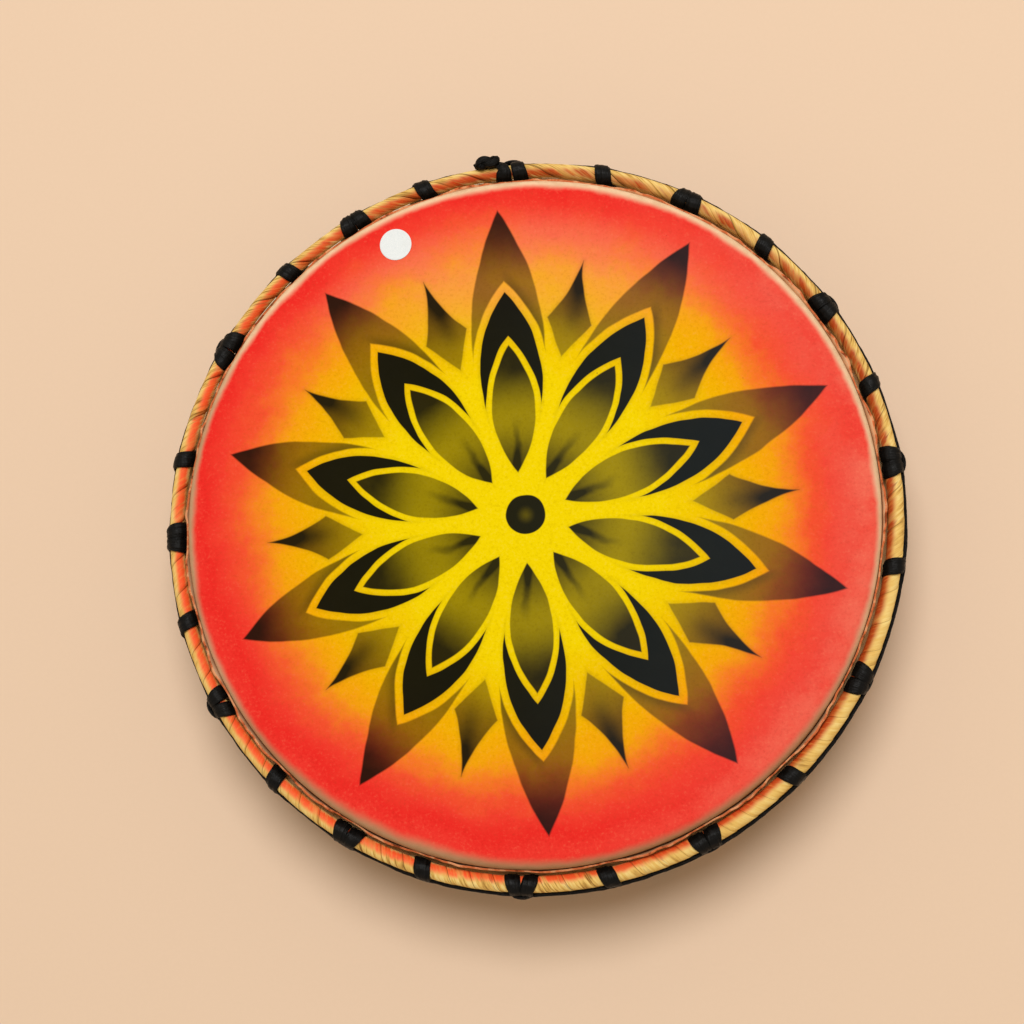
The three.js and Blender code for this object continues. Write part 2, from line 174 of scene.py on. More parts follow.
class Wiring:
    """A node tree that is laid down by sums and short calls."""

    def __init__(self, tree: bpy.types.NodeTree) -> None:
        """Empty the tree and hold it."""
        tree.nodes.clear()
        self.tree = tree

    def feed(self, socket: bpy.types.NodeSocket, value: object) -> None:
        """Link a value to an input, or set the input where the value is a plain one.

        Args:
            socket: The input socket.
            value: A signal, a number, a colour or any other plain value.
        """
        if isinstance(value, Signal):
            self.tree.links.new(value.socket, socket)
        elif socket.type == "RGBA":
            socket.default_value = (*value, 1.0)
        else:
            socket.default_value = value

    def node(self, kind: str, inputs: Sockets, **settings: object) -> bpy.types.Node:
        """Lay down one node.

        Args:
            kind: Blender's name for the node's type.
            inputs: What goes into its sockets, by name or by number.
            **settings: The node's own options.

        Returns:
            The new node.
        """
        node = self.tree.nodes.new(kind)
        for option, choice in settings.items():
            setattr(node, option, choice)
        for key, value in inputs.items():
            self.feed(node.inputs[key], value)
        return node

    def out(self, kind: str, inputs: Sockets, socket: str | int = 0, **settings: object) -> Signal:
        """Lay down one node and take one of its outputs, by name or by number."""
        return Signal(self, self.node(kind, inputs, **settings).outputs[socket])

    def reckon(self, operation: str, *values: Value) -> Signal:
        """Lay down one step of a sum."""
        return self.out("ShaderNodeMath", dict(enumerate(values)), operation=operation)

    def spread(self, value: Signal, ends: tuple[float, float], to: tuple[float, float], curve: str) -> Signal:
        """Map a value from one range to another on a LINEAR or SMOOTHSTEP curve, and hold it there."""
        inputs = {0: value, 1: ends[0], 2: ends[1], 3: to[0], 4: to[1]}
        return self.out("ShaderNodeMapRange", inputs, interpolation_type=curve)

    def joined(self, x: Value, y: Value, z: Value) -> Signal:
        """A vector from its three parts."""
        return self.out("ShaderNodeCombineXYZ", {0: x, 1: y, 2: z})

    def parted(self, vector: Signal) -> tuple[Signal, Signal, Signal]:
        """The three parts of a vector."""
        node = self.node("ShaderNodeSeparateXYZ", {0: vector})
        return tuple(Signal(self, socket) for socket in node.outputs)

    def noise(self, vector: Signal, scale: float, detail: float = 2.0, rough: float = 0.5) -> Signal:
        """Smooth random values, mostly from 0.3 to 0.7, with a scale of lumps to a unit of the vector."""
        inputs = {"Vector": vector, "Scale": scale, "Detail": detail, "Roughness": rough}
        return self.out("ShaderNodeTexNoise", inputs)


class Paintwork(Wiring):
    """The nodes of one material."""

    def __init__(self, name: str) -> None:
        """Start a new material.

        Args:
            name: The material's name.
        """
        self.material = bpy.data.materials.new(name)
        self.material.use_nodes = True
        super().__init__(self.material.node_tree)

    def place(self) -> Signal:
        """The point on the object, in metres."""
        return self.out("ShaderNodeTexCoord", {}, "Object")

    def mark(self, name: str, part: str = "Fac") -> Signal:
        """A value or vector that the mesh carries under a name."""
        return self.out("ShaderNodeAttribute", {}, part, attribute_name=name)

    def blend(self, share: Value, under: object, over: object) -> Signal:
        """Mix two colours, where the share is how much of the second one shows."""
        node = self.node("ShaderNodeMix", {0: share, 6: under, 7: over}, data_type="RGBA")
        return Signal(self, node.outputs[2])

    def ramp(self, share: Signal, stops: list[tuple[float, Colour]]) -> Signal:
        """Run through a row of colours.

        Args:
            share: Where on the row, 0 to 1.
            stops: Places on the row and their colours.

        Returns:
            The colour there.
        """
        node = self.node("ShaderNodeValToRGB", {0: share})
        elements = node.color_ramp.elements
        while len(elements) < len(stops):
            elements.new(1.0)
        for element, (position, colour) in zip(elements, stops):
            element.position = position
            element.color = (*colour, 1.0)
        return Signal(self, node.outputs[0])

    def cells(self, vector: Signal, scale: float) -> tuple[Signal, Signal]:
        """Scattered points, one in each cell of a loose grid.

        Args:
            vector: Where they are looked up.
            scale: How many cells there are to a unit of the vector.

        Returns:
            The distance to the nearest point, in cells, and a random value of that point's own.
        """
        node = self.node("ShaderNodeTexVoronoi", {"Vector": vector, "Scale": scale})
        own = self.parted(Signal(self, node.outputs["Color"]))[0]
        return Signal(self, node.outputs["Distance"]), own

    def bumped(self, height: Signal) -> Signal:
        """The normal of a surface that is raised by a height in metres."""
        return self.out("ShaderNodeBump", {"Height": height, "Distance": 1.0, "Strength": 1.0})

    def surface(self, colour: Signal, roughness: Value, normal: Signal, **fixed: float) -> bpy.types.Material:
        """End the material in its shader.

        Args:
            colour: The surface colour.
            roughness: How matt it is.
            normal: The normal with its relief.
            **fixed: The shader's other inputs, with underscores for spaces, the same all over.

        Returns:
            The finished material.
        """
        inputs = {"Base Color": colour, "Roughness": roughness, "Normal": normal}
        inputs.update({name.replace("_", " "): value for name, value in fixed.items()})
        shader = self.out("ShaderNodeBsdfPrincipled", inputs)
        self.node("ShaderNodeOutputMaterial", {"Surface": shader})
        return self.material


class InputKind(Enum):
    """What an input of a recipe takes."""

    NUMBER = "NodeSocketFloat"
    COUNT = "NodeSocketInt"
    FINISH = "NodeSocketMaterial"


class Recipe(Wiring):
    """A Geometry Nodes tree with named inputs, run once on a base mesh."""

    def __init__(self, name: str) -> None:
        """Start a new tree that takes and gives geometry.

        Args:
            name: The tree's name.
        """
        super().__init__(bpy.data.node_groups.new(name, "GeometryNodeTree"))
        for way in ("INPUT", "OUTPUT"):
            self.tree.interface.new_socket("Geometry", in_out=way, socket_type="NodeSocketGeometry")
        self.start = self.tree.nodes.new("NodeGroupInput")
        self.end = self.tree.nodes.new("NodeGroupOutput")
        self.given: dict[str, object] = {}

    def base(self) -> Signal:
        """The geometry that the recipe starts from."""
        return Signal(self, self.start.outputs[0])

    def asks(self, name: str, kind: InputKind, value: object) -> Signal:
        """Add a named input.

        Args:
            name: The input's name.
            kind: What it takes.
            value: What this run gives it.

        Returns:
            The input's signal.
        """
        socket = self.tree.interface.new_socket(name, in_out="INPUT", socket_type=kind.value)
        self.given[socket.identifier] = value
        return Signal(self, self.start.outputs[name])

    def mark(self, name: str, vector: bool = False) -> Signal:
        """Read a value or vector that the geometry carries under a name."""
        kind = "FLOAT_VECTOR" if vector else "FLOAT"
        return self.out("GeometryNodeInputNamedAttribute", {"Name": name}, data_type=kind)

    def marked(self, geometry: Signal, name: str, value: Signal, vector: bool = False) -> Signal:
        """Write a value on each point under a name.

        Args:
            geometry: The geometry to write on.
            name: The name to keep it under.
            value: The value.
            vector: Whether the value is a vector.

        Returns:
            The geometry with the value.
        """
        kind = "FLOAT_VECTOR" if vector else "FLOAT"
        inputs = {"Geometry": geometry, "Name": name, "Value": value}
        return self.out("GeometryNodeStoreNamedAttribute", inputs, data_type=kind, domain="POINT")

    def vectors(self, operation: str, *values: object) -> Signal:
        """One step of a sum of vectors."""
        return self.out("ShaderNodeVectorMath", dict(enumerate(values)), operation=operation)

    def scaled(self, vector: Signal, size: Value) -> Signal:
        """A vector times a number."""
        return self.out("ShaderNodeVectorMath", {0: vector, "Scale": size}, operation="SCALE")

    def tube(self, rail: Signal, sides: Signal) -> Signal:
        """Sweep a circle along a rail and keep each point's number on the circle as 'side'.

        Args:
            rail: The curve to sweep along.
            sides: How many points the circle has.

        Returns:
            The tube's mesh, with closed ends.
        """
        circle = self.out("GeometryNodeCurvePrimitiveCircle", {"Resolution": sides, "Radius": MM})
        number = self.out("GeometryNodeInputIndex", {})
        section = self.marked(circle, "side", number)
        inputs = {"Curve": rail, "Profile Curve": section, "Fill Caps": True}
        return self.out("GeometryNodeCurveToMesh", inputs)

    def moved(self, geometry: Signal, position: Signal) -> Signal:
        """Put every point at a worked-out position."""
        return self.out("GeometryNodeSetPosition", {"Geometry": geometry, "Position": position})

    def serve(self, geometry: Signal, finish: Signal) -> None:
        """End the tree with real, smooth and dressed geometry.

        Args:
            geometry: The geometry to give.
            finish: The material that it wears.
        """
        smooth = self.out("GeometryNodeSetShadeSmooth", {"Geometry": geometry})
        real = self.out("GeometryNodeRealizeInstances", {"Geometry": smooth})
        dressed = self.out("GeometryNodeSetMaterial", {"Geometry": real, "Material": finish})
        self.feed(self.end.inputs[0], dressed)

    def made(self, name: str, base: bpy.types.Mesh) -> bpy.types.Mesh:
        """Run the recipe and take its result as a plain mesh.

        Args:
            name: The result's name.
            base: The mesh to start from.

        Returns:
            The plain mesh.
        """
        carrier = bpy.data.objects.new(f"{name}_base", base)
        bpy.context.scene.collection.objects.link(carrier)
        modifier = carrier.modifiers.new("recipe", "NODES")
        modifier.node_group = self.tree
        for identifier, value in self.given.items():
            modifier[identifier] = value
        graph = bpy.context.evaluated_depsgraph_get()
        evaluated = carrier.evaluated_get(graph)
        mesh = bpy.data.meshes.new_from_object(evaluated, preserve_all_data_layers=True, depsgraph=graph)
        mesh.name = name
        carrier.modifiers.remove(modifier)
        bpy.data.objects.remove(carrier)
        closed_up(mesh)
        return mesh


def closed_up(mesh: bpy.types.Mesh) -> None:
    """Merge a closed mesh's doubles, turn its faces outwards and shade it smooth.

    Args:
        mesh: The mesh to mend in place.
    """
    shape = bmesh.new()
    shape.from_mesh(mesh)
    bmesh.ops.remove_doubles(shape, verts=shape.verts, dist=MERGE_WITHIN)
    bmesh.ops.recalc_face_normals(shape, faces=shape.faces)
    for face in shape.faces:
        face.smooth = True
    shape.to_mesh(mesh)
    shape.free()


def arc(centre: tuple[float, float], radius: float, start: float, end: float, steps: int) -> np.ndarray:
    """Points of an arc in the radial plane.

    Args:
        centre: Its centre, as radius and height.
        radius: Its own radius.
        start: The first angle, in degrees.
        end: The last angle, in degrees.
        steps: How many steps it has.

    Returns:
        The points, as rows of radius and height.
    """
    angle = np.radians(np.linspace(start, end, steps + 1))
    return np.stack([centre[0] + radius * np.cos(angle), centre[1] + radius * np.sin(angle)], axis=1)


def turned(angle: np.ndarray, radius: np.ndarray, height: np.ndarray) -> np.ndarray:
    """Points of a shape that is turned about the drum's axis.

    Args:
        angle: The azimuth of each row.
        radius: The radius of each point, one row for all azimuths or a row for each.
        height: The height of each point, alike.

    Returns:
        Rows and columns of points.
    """
    radius, height, angle = np.broadcast_arrays(np.atleast_2d(radius), np.atleast_2d(height), angle[:, None])
    return np.stack([radius * np.cos(angle), radius * np.sin(angle), height], axis=-1)


def azimuths(sides: int) -> np.ndarray:
    """Evenly spaced azimuths right round the drum."""
    return np.linspace(0, FULL_TURN, sides, endpoint=False)


def round_mesh(name: str, points: np.ndarray, hollow: bool, marks: dict[str, np.ndarray]) -> bpy.types.Mesh:
    """Skin rows of points that go right round, the last row joined to the first.

    Args:
        name: The mesh's name.
        points: Rows and columns of points.
        hollow: Whether the last column joins the first; otherwise both end on the axis.
        marks: Values for each point, kept on the mesh by name.

    Returns:
        The closed mesh.
    """
    rows, columns = points.shape[:2]
    row = np.arange(rows)[:, None] * columns
    after = (np.arange(rows)[:, None] + 1) % rows * columns
    column = np.arange(columns if hollow else columns - 1)[None, :]
    beside = (column + 1) % columns
    faces = np.stack([row + column, after + column, after + beside, row + beside], axis=-1).reshape(-1, 4)
    mesh = bpy.data.meshes.new(name)
    mesh.from_pydata(points.reshape(-1, 3).tolist(), [], faces.tolist())
    for mark, values in marks.items():
        flat = np.broadcast_to(values, (rows, columns)).astype(np.float32).ravel()
        mesh.attributes.new(mark, "FLOAT", "POINT").data.foreach_set("value", flat)
    closed_up(mesh)
    return mesh


def waves(angle: np.ndarray, counts: range, seed: int) -> np.ndarray:
    """A seamless random wave round the drum.

    Args:
        angle: The azimuths to give it at.
        counts: How many times each of its parts goes up and down in a round.
        seed: What makes it this wave and no other.

    Returns:
        Values of about -1 to 1.
    """
    draw = np.random.default_rng(seed)
    total = np.zeros_like(angle)
    for count in counts:
        total += draw.normal() * np.sin(count * angle + draw.uniform(0, FULL_TURN))
    return total / math.sqrt(len(counts))


def waved(angle: np.ndarray, parts: Waves) -> np.ndarray:
    """The sum of some random waves, each given by its size, its counts and its seed."""
    return sum(size * waves(angle, counts, seed) for size, counts, seed in parts)


def wear(mesh: bpy.types.Mesh, finish: bpy.types.Material) -> None:
    """Give a mesh one material and no other."""
    mesh.materials.clear()
    mesh.materials.append(finish)


def show(
    name: str, mesh: bpy.types.Mesh, finish: bpy.types.Material, slot: str, *nodes: str
) -> bpy.types.Object:
    """Put a finished piece in the scene in place of the solids that it stands for.

    Args:
        name: The piece's name.
        mesh: Its mesh, in the drum's own frame.
        finish: Its material.
        slot: The name of a material slot; not used.
        *nodes: The solids that it replaces.

    Returns:
        The piece.
    """
    wear(mesh, finish)
    piece = bpy.data.objects.new(name, mesh)
    bpy.context.scene.collection.objects.link(piece)
    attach(piece, BODY)
    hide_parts(*nodes)
    LOG.info("%s: %d faces, in place of %s", name, len(mesh.polygons), ", ".join(nodes))
    return piece


def dress(node: str, finish: bpy.types.Material) -> None:
    """Give a solid that stays in the scene its finish."""
    wear(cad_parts[node].data, finish)
    LOG.info("%s: kept, dressed in %s", node, finish.name)


@dataclass(frozen=True)
class HoopWood:
    """Oiled wood, bent so that its grain goes round the drum."""

    name: str
    pale: Colour
    dark: Colour
    along: float = 3.0
    grain: float = 130.0
    pores: float = 900.0
    bright: Colour = screen(214, 158, 98)
    handled: Colour = screen(96, 60, 32)
    pore_depth: float = 0.08 * MM

    def material(self) -> bpy.types.Material:
        """Wire the wood.

        Returns:
            The material.
        """
        paint = Paintwork(self.name)
        x, y, z = paint.parted(paint.place())
        radius = x.hypot(y)
        along_grain = paint.joined(x * self.along, y * self.along, (z + radius) * self.grain)
        bands = paint.noise(along_grain, 1.0, 5.0, 0.6)
        fine = paint.noise(paint.joined(x * 14, y * 14, (z + radius * 0.8) * self.pores), 1.0, 2.0)
        worn = paint.noise(paint.place(), 18.0, 3.0)
        tone = (bands - 0.5) * 1.1 + (fine - 0.5) * 0.5 + 0.5
        wood = paint.ramp(tone, [(0.1, self.dark), (0.55, self.pale), (0.95, self.bright)])
        streaks = fine.rise(0.62, 0.72) * 0.55
        colour = paint.blend(streaks, wood, self.dark)
        aged = paint.blend(worn.rise(0.5, 0.75) * 0.35, colour, self.handled)
        relief = paint.bumped(fine * self.pore_depth)
        return paint.surface(aged, worn.span(0.3, 0.7, 0.42, 0.6), relief, Specular_IOR_Level=0.4)


@dataclass(frozen=True)
class BareCane:
    """Peeled cane with fine fibres along the ring and a darker joint now and then."""

    name: str
    pale: Colour
    dark: Colour
    joints: int = 9
    joint_reach: tuple[float, float] = (4 * MM, 0.6 * MM)
    scar: Colour = screen(92, 62, 30)
    fibre_depth: float = 0.15 * MM

    def material(self) -> bpy.types.Material:
        """Wire the cane.

        Returns:
            The material.
        """
        paint = Paintwork(self.name)
        x, y, z = paint.parted(paint.place())
        radius = x.hypot(y)
        fibre = paint.noise(paint.joined(x * 9, y * 9, (z - radius) * 900), 1.0, 3.0)
        patch = paint.noise(paint.place(), 22.0, 3.0)
        step = FULL_TURN / self.joints
        from_joint = abs((y.angle_to(x) + patch * 0.05).folded(step / 2)) * radius
        joint = from_joint.rise(*self.joint_reach)
        colour = paint.ramp((fibre - 0.5) * 1.6 + patch, [(0.2, self.dark), (0.75, self.pale)])
        scarred = paint.blend(joint * 0.6, colour, self.scar)
        relief = paint.bumped(fibre * self.fibre_depth)
        return paint.surface(scarred, patch.span(0.3, 0.7, 0.38, 0.6), relief, Specular_IOR_Level=0.45)


@dataclass(frozen=True)
class BareSteel:
    """Drawn steel rod with a dull film."""

    name: str = "flesh_ring_steel"
    dull: Colour = screen(120, 112, 104)
    bright: Colour = screen(176, 174, 170)
    line_depth: float = 0.02 * MM

    def material(self) -> bpy.types.Material:
        """Wire the steel.

        Returns:
            The material.
        """
        paint = Paintwork(self.name)
        film = paint.noise(paint.place(), 120.0, 4.0)
        lines = paint.noise(paint.place(), 1500.0, 2.0)
        colour = paint.ramp(film, [(0.35, self.dull), (0.65, self.bright)])
        relief = paint.bumped(lines * self.line_depth)
        return paint.surface(colour, film.span(0.3, 0.7, 0.3, 0.5), relief, Metallic=1.0)


@dataclass(frozen=True)
class LeafStrip:
    """Dried leaf, straw yellow, with the head's paint sprayed over its upper inner side."""

    ring_radius: float
    ring_height: float
    name: str = "leaf_strip"
    straw: Colour = screen(236, 194, 106)
    shade: Colour = screen(142, 92, 34)
    deep_spray: Colour = screen(176, 58, 12)
    light_spray: Colour = screen(252, 88, 42)
    bright: Colour = screen(255, 230, 152)
    sprayed_fibre: Colour = screen(244, 156, 70)
    split: Colour = screen(120, 64, 22)
    # Painted shade in the seam along each turn's edge, where the turns of the strip lap.
    lap: Colour = screen(84, 46, 18)
    deep_at: float = math.radians(30)
    near_at: float = math.radians(-45)
    calm_right_at: float = math.radians(-36)
    calm_left_at: float = math.radians(200)
    scarce_at: float = math.radians(62)
    spray_at: float = math.radians(122)
    spray_turn: float = math.radians(28)
    fibre_depth: float = 0.14 * MM
    vein_depth: float = 0.2 * MM

    def material(self) -> bpy.types.Material:
        """Wire the leaf.

        Returns:
            The material.
        """
        paint = Paintwork(self.name)
        place = paint.place()
        x, y, z = paint.parted(place)
        turns = paint.mark("leaf_turns")
        across = paint.mark("leaf_across")
        edge = paint.mark("leaf_edge")
        fibre = paint.noise(paint.joined(turns * 2.1, across * 620, 0.0), 1.0, 3.0, 0.65)
        vein = paint.noise(paint.joined(turns * 1.3, across * 240, 4.0), 1.0, 2.0)
        blotch = paint.noise(place, 60.0, 3.0)
        around = (z - self.ring_height).angle_to(x.hypot(y) - self.ring_radius)
        azimuth = y.angle_to(x)
        towards = azimuth.facing(self.deep_at)
        near = azimuth.facing(self.near_at).rise(0.3, 0.85)
        calm_right = azimuth.facing(self.calm_right_at).rise(0.7, 0.95)
        calm_left = azimuth.facing(self.calm_left_at).rise(0.72, 0.95)
        keen = 1 - calm_right.most(calm_left * 0.85) * 0.58
        tone = ((fibre - 0.5) * 2.0 + (vein - 0.5) * 1.5) * keen + (blotch - 0.5) * 0.9 + 0.58
        straw = paint.ramp(tone, [(0.05, self.shade), (0.5, self.straw), (0.95, self.bright)])
        lane = paint.noise(paint.joined(turns * 1.1, across * 110, 9.0), 1.0, 2.0)
        torn = (vein - 0.5) * 0.9 + (fibre - 0.5) * 0.9 + (lane - 0.5) * 0.6
        ragged = (blotch - 0.5) * 0.7 + torn * keen
        off = abs(around + ragged - (near * self.spray_turn + self.spray_at))
        mist = off.rise(math.radians(60), math.radians(14))
        from_scarce = abs((azimuth - self.scarce_at).folded(math.pi))
        scarce = from_scarce.rise(math.radians(34), math.radians(12))
        patchy = (lane - 0.5) * 2.2 + (vein - 0.5) * 1.8 + (fibre - 0.5) * 1.4
        thickness = patchy * keen + 1.05 - scarce * 0.55
        hit = mist * thickness.least(0.96).most(0.05)
        spray = paint.blend(towards.span(-0.6, 0.6, 0.0, 1.0), self.light_spray, self.deep_spray)
        lit_spray = paint.blend(fibre.rise(0.5, 0.66) * 0.45, spray, self.sprayed_fibre)
        sprayed = paint.blend(hit, straw, lit_spray)
        crack = vein.rise(0.6, 0.66) * fibre.rise(0.48, 0.58) * keen * 0.5
        cracked = paint.blend(crack, sprayed, self.split)
        # Painted shade: each turn of the strip is darkened along its edges, where the turns lap.
        lap_shaded = paint.blend(edge.rise(0.92, 0.98) * (keen * 0.45 + 0.15), cracked, self.lap)
        relief = paint.bumped((fibre * self.fibre_depth + vein * self.vein_depth) * keen)
        return paint.surface(lap_shaded, blotch.span(0.3, 0.7, 0.4, 0.58), relief, Specular_IOR_Level=0.12)


@dataclass(frozen=True)
class BlackRope:
    """Black braided rope with a slight sheen on its strands."""

    name: str = "black_rope"
    deep: Colour = screen(3, 3, 3)
    black: Colour = screen(11, 11, 11)
    sheen: Colour = screen(28, 27, 26)
    dusty: Colour = screen(62, 58, 52)
    plait_strands: int = 9
    plait_length: float = 5.0 * MM
    plait_depth: float = 0.06 * MM
    strand_depth: float = 0.3 * MM
    fold_depth: float = 0.7 * MM

    def material(self) -> bpy.types.Material:
        """Wire the rope.

        Returns:
            The material.
        """
        paint = Paintwork(self.name)
        cosine, sine, run = paint.parted(paint.mark("rope_place", "Vector"))
        angle = sine.angle_to(cosine)
        strands = paint.noise(paint.joined(cosine * 9, sine * 9, run * 60), 1.0, 3.0, 0.6)
        lay = run * (FULL_TURN / self.plait_length)
        plait = (angle * self.plait_strands + lay).sine() * (angle * self.plait_strands - lay).sine()
        dust = paint.noise(paint.place(), 240.0, 3.0)
        folded = paint.joined(cosine * FOLDS_ROUND, sine * FOLDS_ROUND, run * FOLDS_ALONG)
        folds = paint.noise(folded, 1.0, 3.0, 0.6)
        tone = (strands - 0.5) * 1.4 + plait * 0.12 + (folds - 0.5) * 0.8 + 0.42
        black = paint.ramp(tone, [(0.1, self.deep), (0.6, self.black), (0.95, self.sheen)])
        colour = paint.blend(dust.rise(0.66, 0.85) * 0.14, black, self.dusty)
        raised = strands * self.strand_depth + plait * self.plait_depth + folds * self.fold_depth
        relief = paint.bumped(raised)
        rough = dust.span(0.3, 0.7, 0.32, 0.5)
        return paint.surface(colour, rough, relief, Specular_IOR_Level=0.11)


@dataclass(frozen=True)
class BlankPaper:
    """White paper with its own fine fibre."""

    name: str = "white_paper"
    shade: Colour = screen(228, 238, 244)
    white: Colour = screen(244, 251, 255)
    soil: Colour = screen(212, 214, 208)
    fibre_depth: float = 0.03 * MM

    def material(self) -> bpy.types.Material:
        """Wire the paper.

        Returns:
            The material.
        """
        paint = Paintwork(self.name)
        fibre = paint.noise(paint.place(), 1800.0, 4.0)
        soiled = paint.noise(paint.place(), 130.0, 3.0)
        paper = paint.ramp(fibre, [(0.3, self.shade), (0.7, self.white)])
        colour = paint.blend(soiled.rise(0.5, 0.8) * 0.2, paper, self.soil)
        relief = paint.bumped(fibre * self.fibre_depth)
        return paint.surface(colour, fibre.span(0.3, 0.7, 0.6, 0.75), relief, Specular_IOR_Level=0.3)


@dataclass(frozen=True)
class Petal:
    """A pointed leaf shape: two arcs that meet at a base and a tip on its axis.

    Its blur is how soft its edge is, and it darkens between two places along its axis.
    """

    base: float
    tip: float
    half_width: float
    blur: float
    darkens: tuple[float, float] = (0.0, 0.0)

    def edge(self, along: Signal, across: Signal) -> Signal:
        """How far a point lies outside the shape.

        Args:
            along: The point's distance along the axis.
            across: Its distance from the axis, not negative.

        Returns:
            The distance, negative inside.
        """
        half = (self.tip - self.base) / 2
        bow = (half**2 + self.half_width**2) / (2 * self.half_width)
        return (along - (self.base + self.tip) / 2).hypot(across + (bow - self.half_width)) - bow


@dataclass(frozen=True)
class Dart:
    """A stencilled arrow head between two petals: concave sides to the tip, straight sides to the base.

    Its blur is how soft its edge is, and it darkens between two places along its axis.
    """

    base: float
    shoulder: float
    tip: float
    half_width: float
    bow: float
    blur: float
    darkens: tuple[float, float]

    def edge(self, along: Signal, across: Signal) -> Signal:
        """How far a point lies outside the dart.

        Args:
            along: The point's distance along the dart's axis.
            across: Its distance from the axis, not negative.

        Returns:
            The distance, negative inside.
        """
        rise = self.shoulder - self.base
        slant = math.hypot(rise, self.half_width)
        lower = (across * rise - (along - self.base) * self.half_width) / slant
        run = self.tip - self.shoulder
        chord = math.hypot(run, self.half_width)
        stand_off = math.sqrt(self.bow**2 - (chord / 2) ** 2)
        middle = ((self.shoulder + self.tip) / 2, self.half_width / 2)
        centre = (middle[0] + stand_off * self.half_width / chord, middle[1] + stand_off * run / chord)
        upper = self.bow - (along - centre[0]).hypot(across - centre[1])
        return lower.most(upper).most(along - self.tip)


@dataclass(frozen=True)
class Flower:
    """The ten-petalled flower that is stencilled round the middle of the head."""

    centre: tuple[float, float] = (-2.8 * MM, -1.9 * MM)
    spread: tuple[float, float] = (0.188, 0.054)
    petals: int = 10
    turn: float = math.radians(94.7)
    leaf: Petal = Petal(26.5 * MM, 102.0 * MM, 12.4 * MM, 0.5 * MM, (58 * MM, 92 * MM))
    chevron: Petal = Petal(34.6 * MM, 133.8 * MM, 18.0 * MM, 0.4 * MM)
    petal: Petal = Petal(23.7 * MM, 182.9 * MM, 21.3 * MM, 0.7 * MM, (134 * MM, 176 * MM))
    dart: Dart = Dart(
        95.5 * MM, 117.2 * MM, 154.0 * MM, 13.2 * MM, 100.0 * MM, 0.7 * MM, (96 * MM, 146 * MM)
    )
    leaf_line: float = 3.4 * MM
    chevron_line: float = 4.4 * MM
    petal_from: float = 70 * MM
    eye: float = 11.4 * MM
    eye_blur: float = 0.4 * MM
    eye_place: tuple[float, float] = (1.6 * MM, 2.1 * MM)

    def laid(self, x: Signal, y: Signal) -> tuple[Signal, Signal]:
        """Take out the layout's unevenness: the flower grows a little towards one side.

        Args:
            x: A point's place from the flower's middle.
            y: The same, along the second axis.

        Returns:
            The point's place in an even flower.
        """
        grown = x * self.spread[0] + y * self.spread[1]
        size = 1 + grown / (1 + grown)
        return x / size, y / size


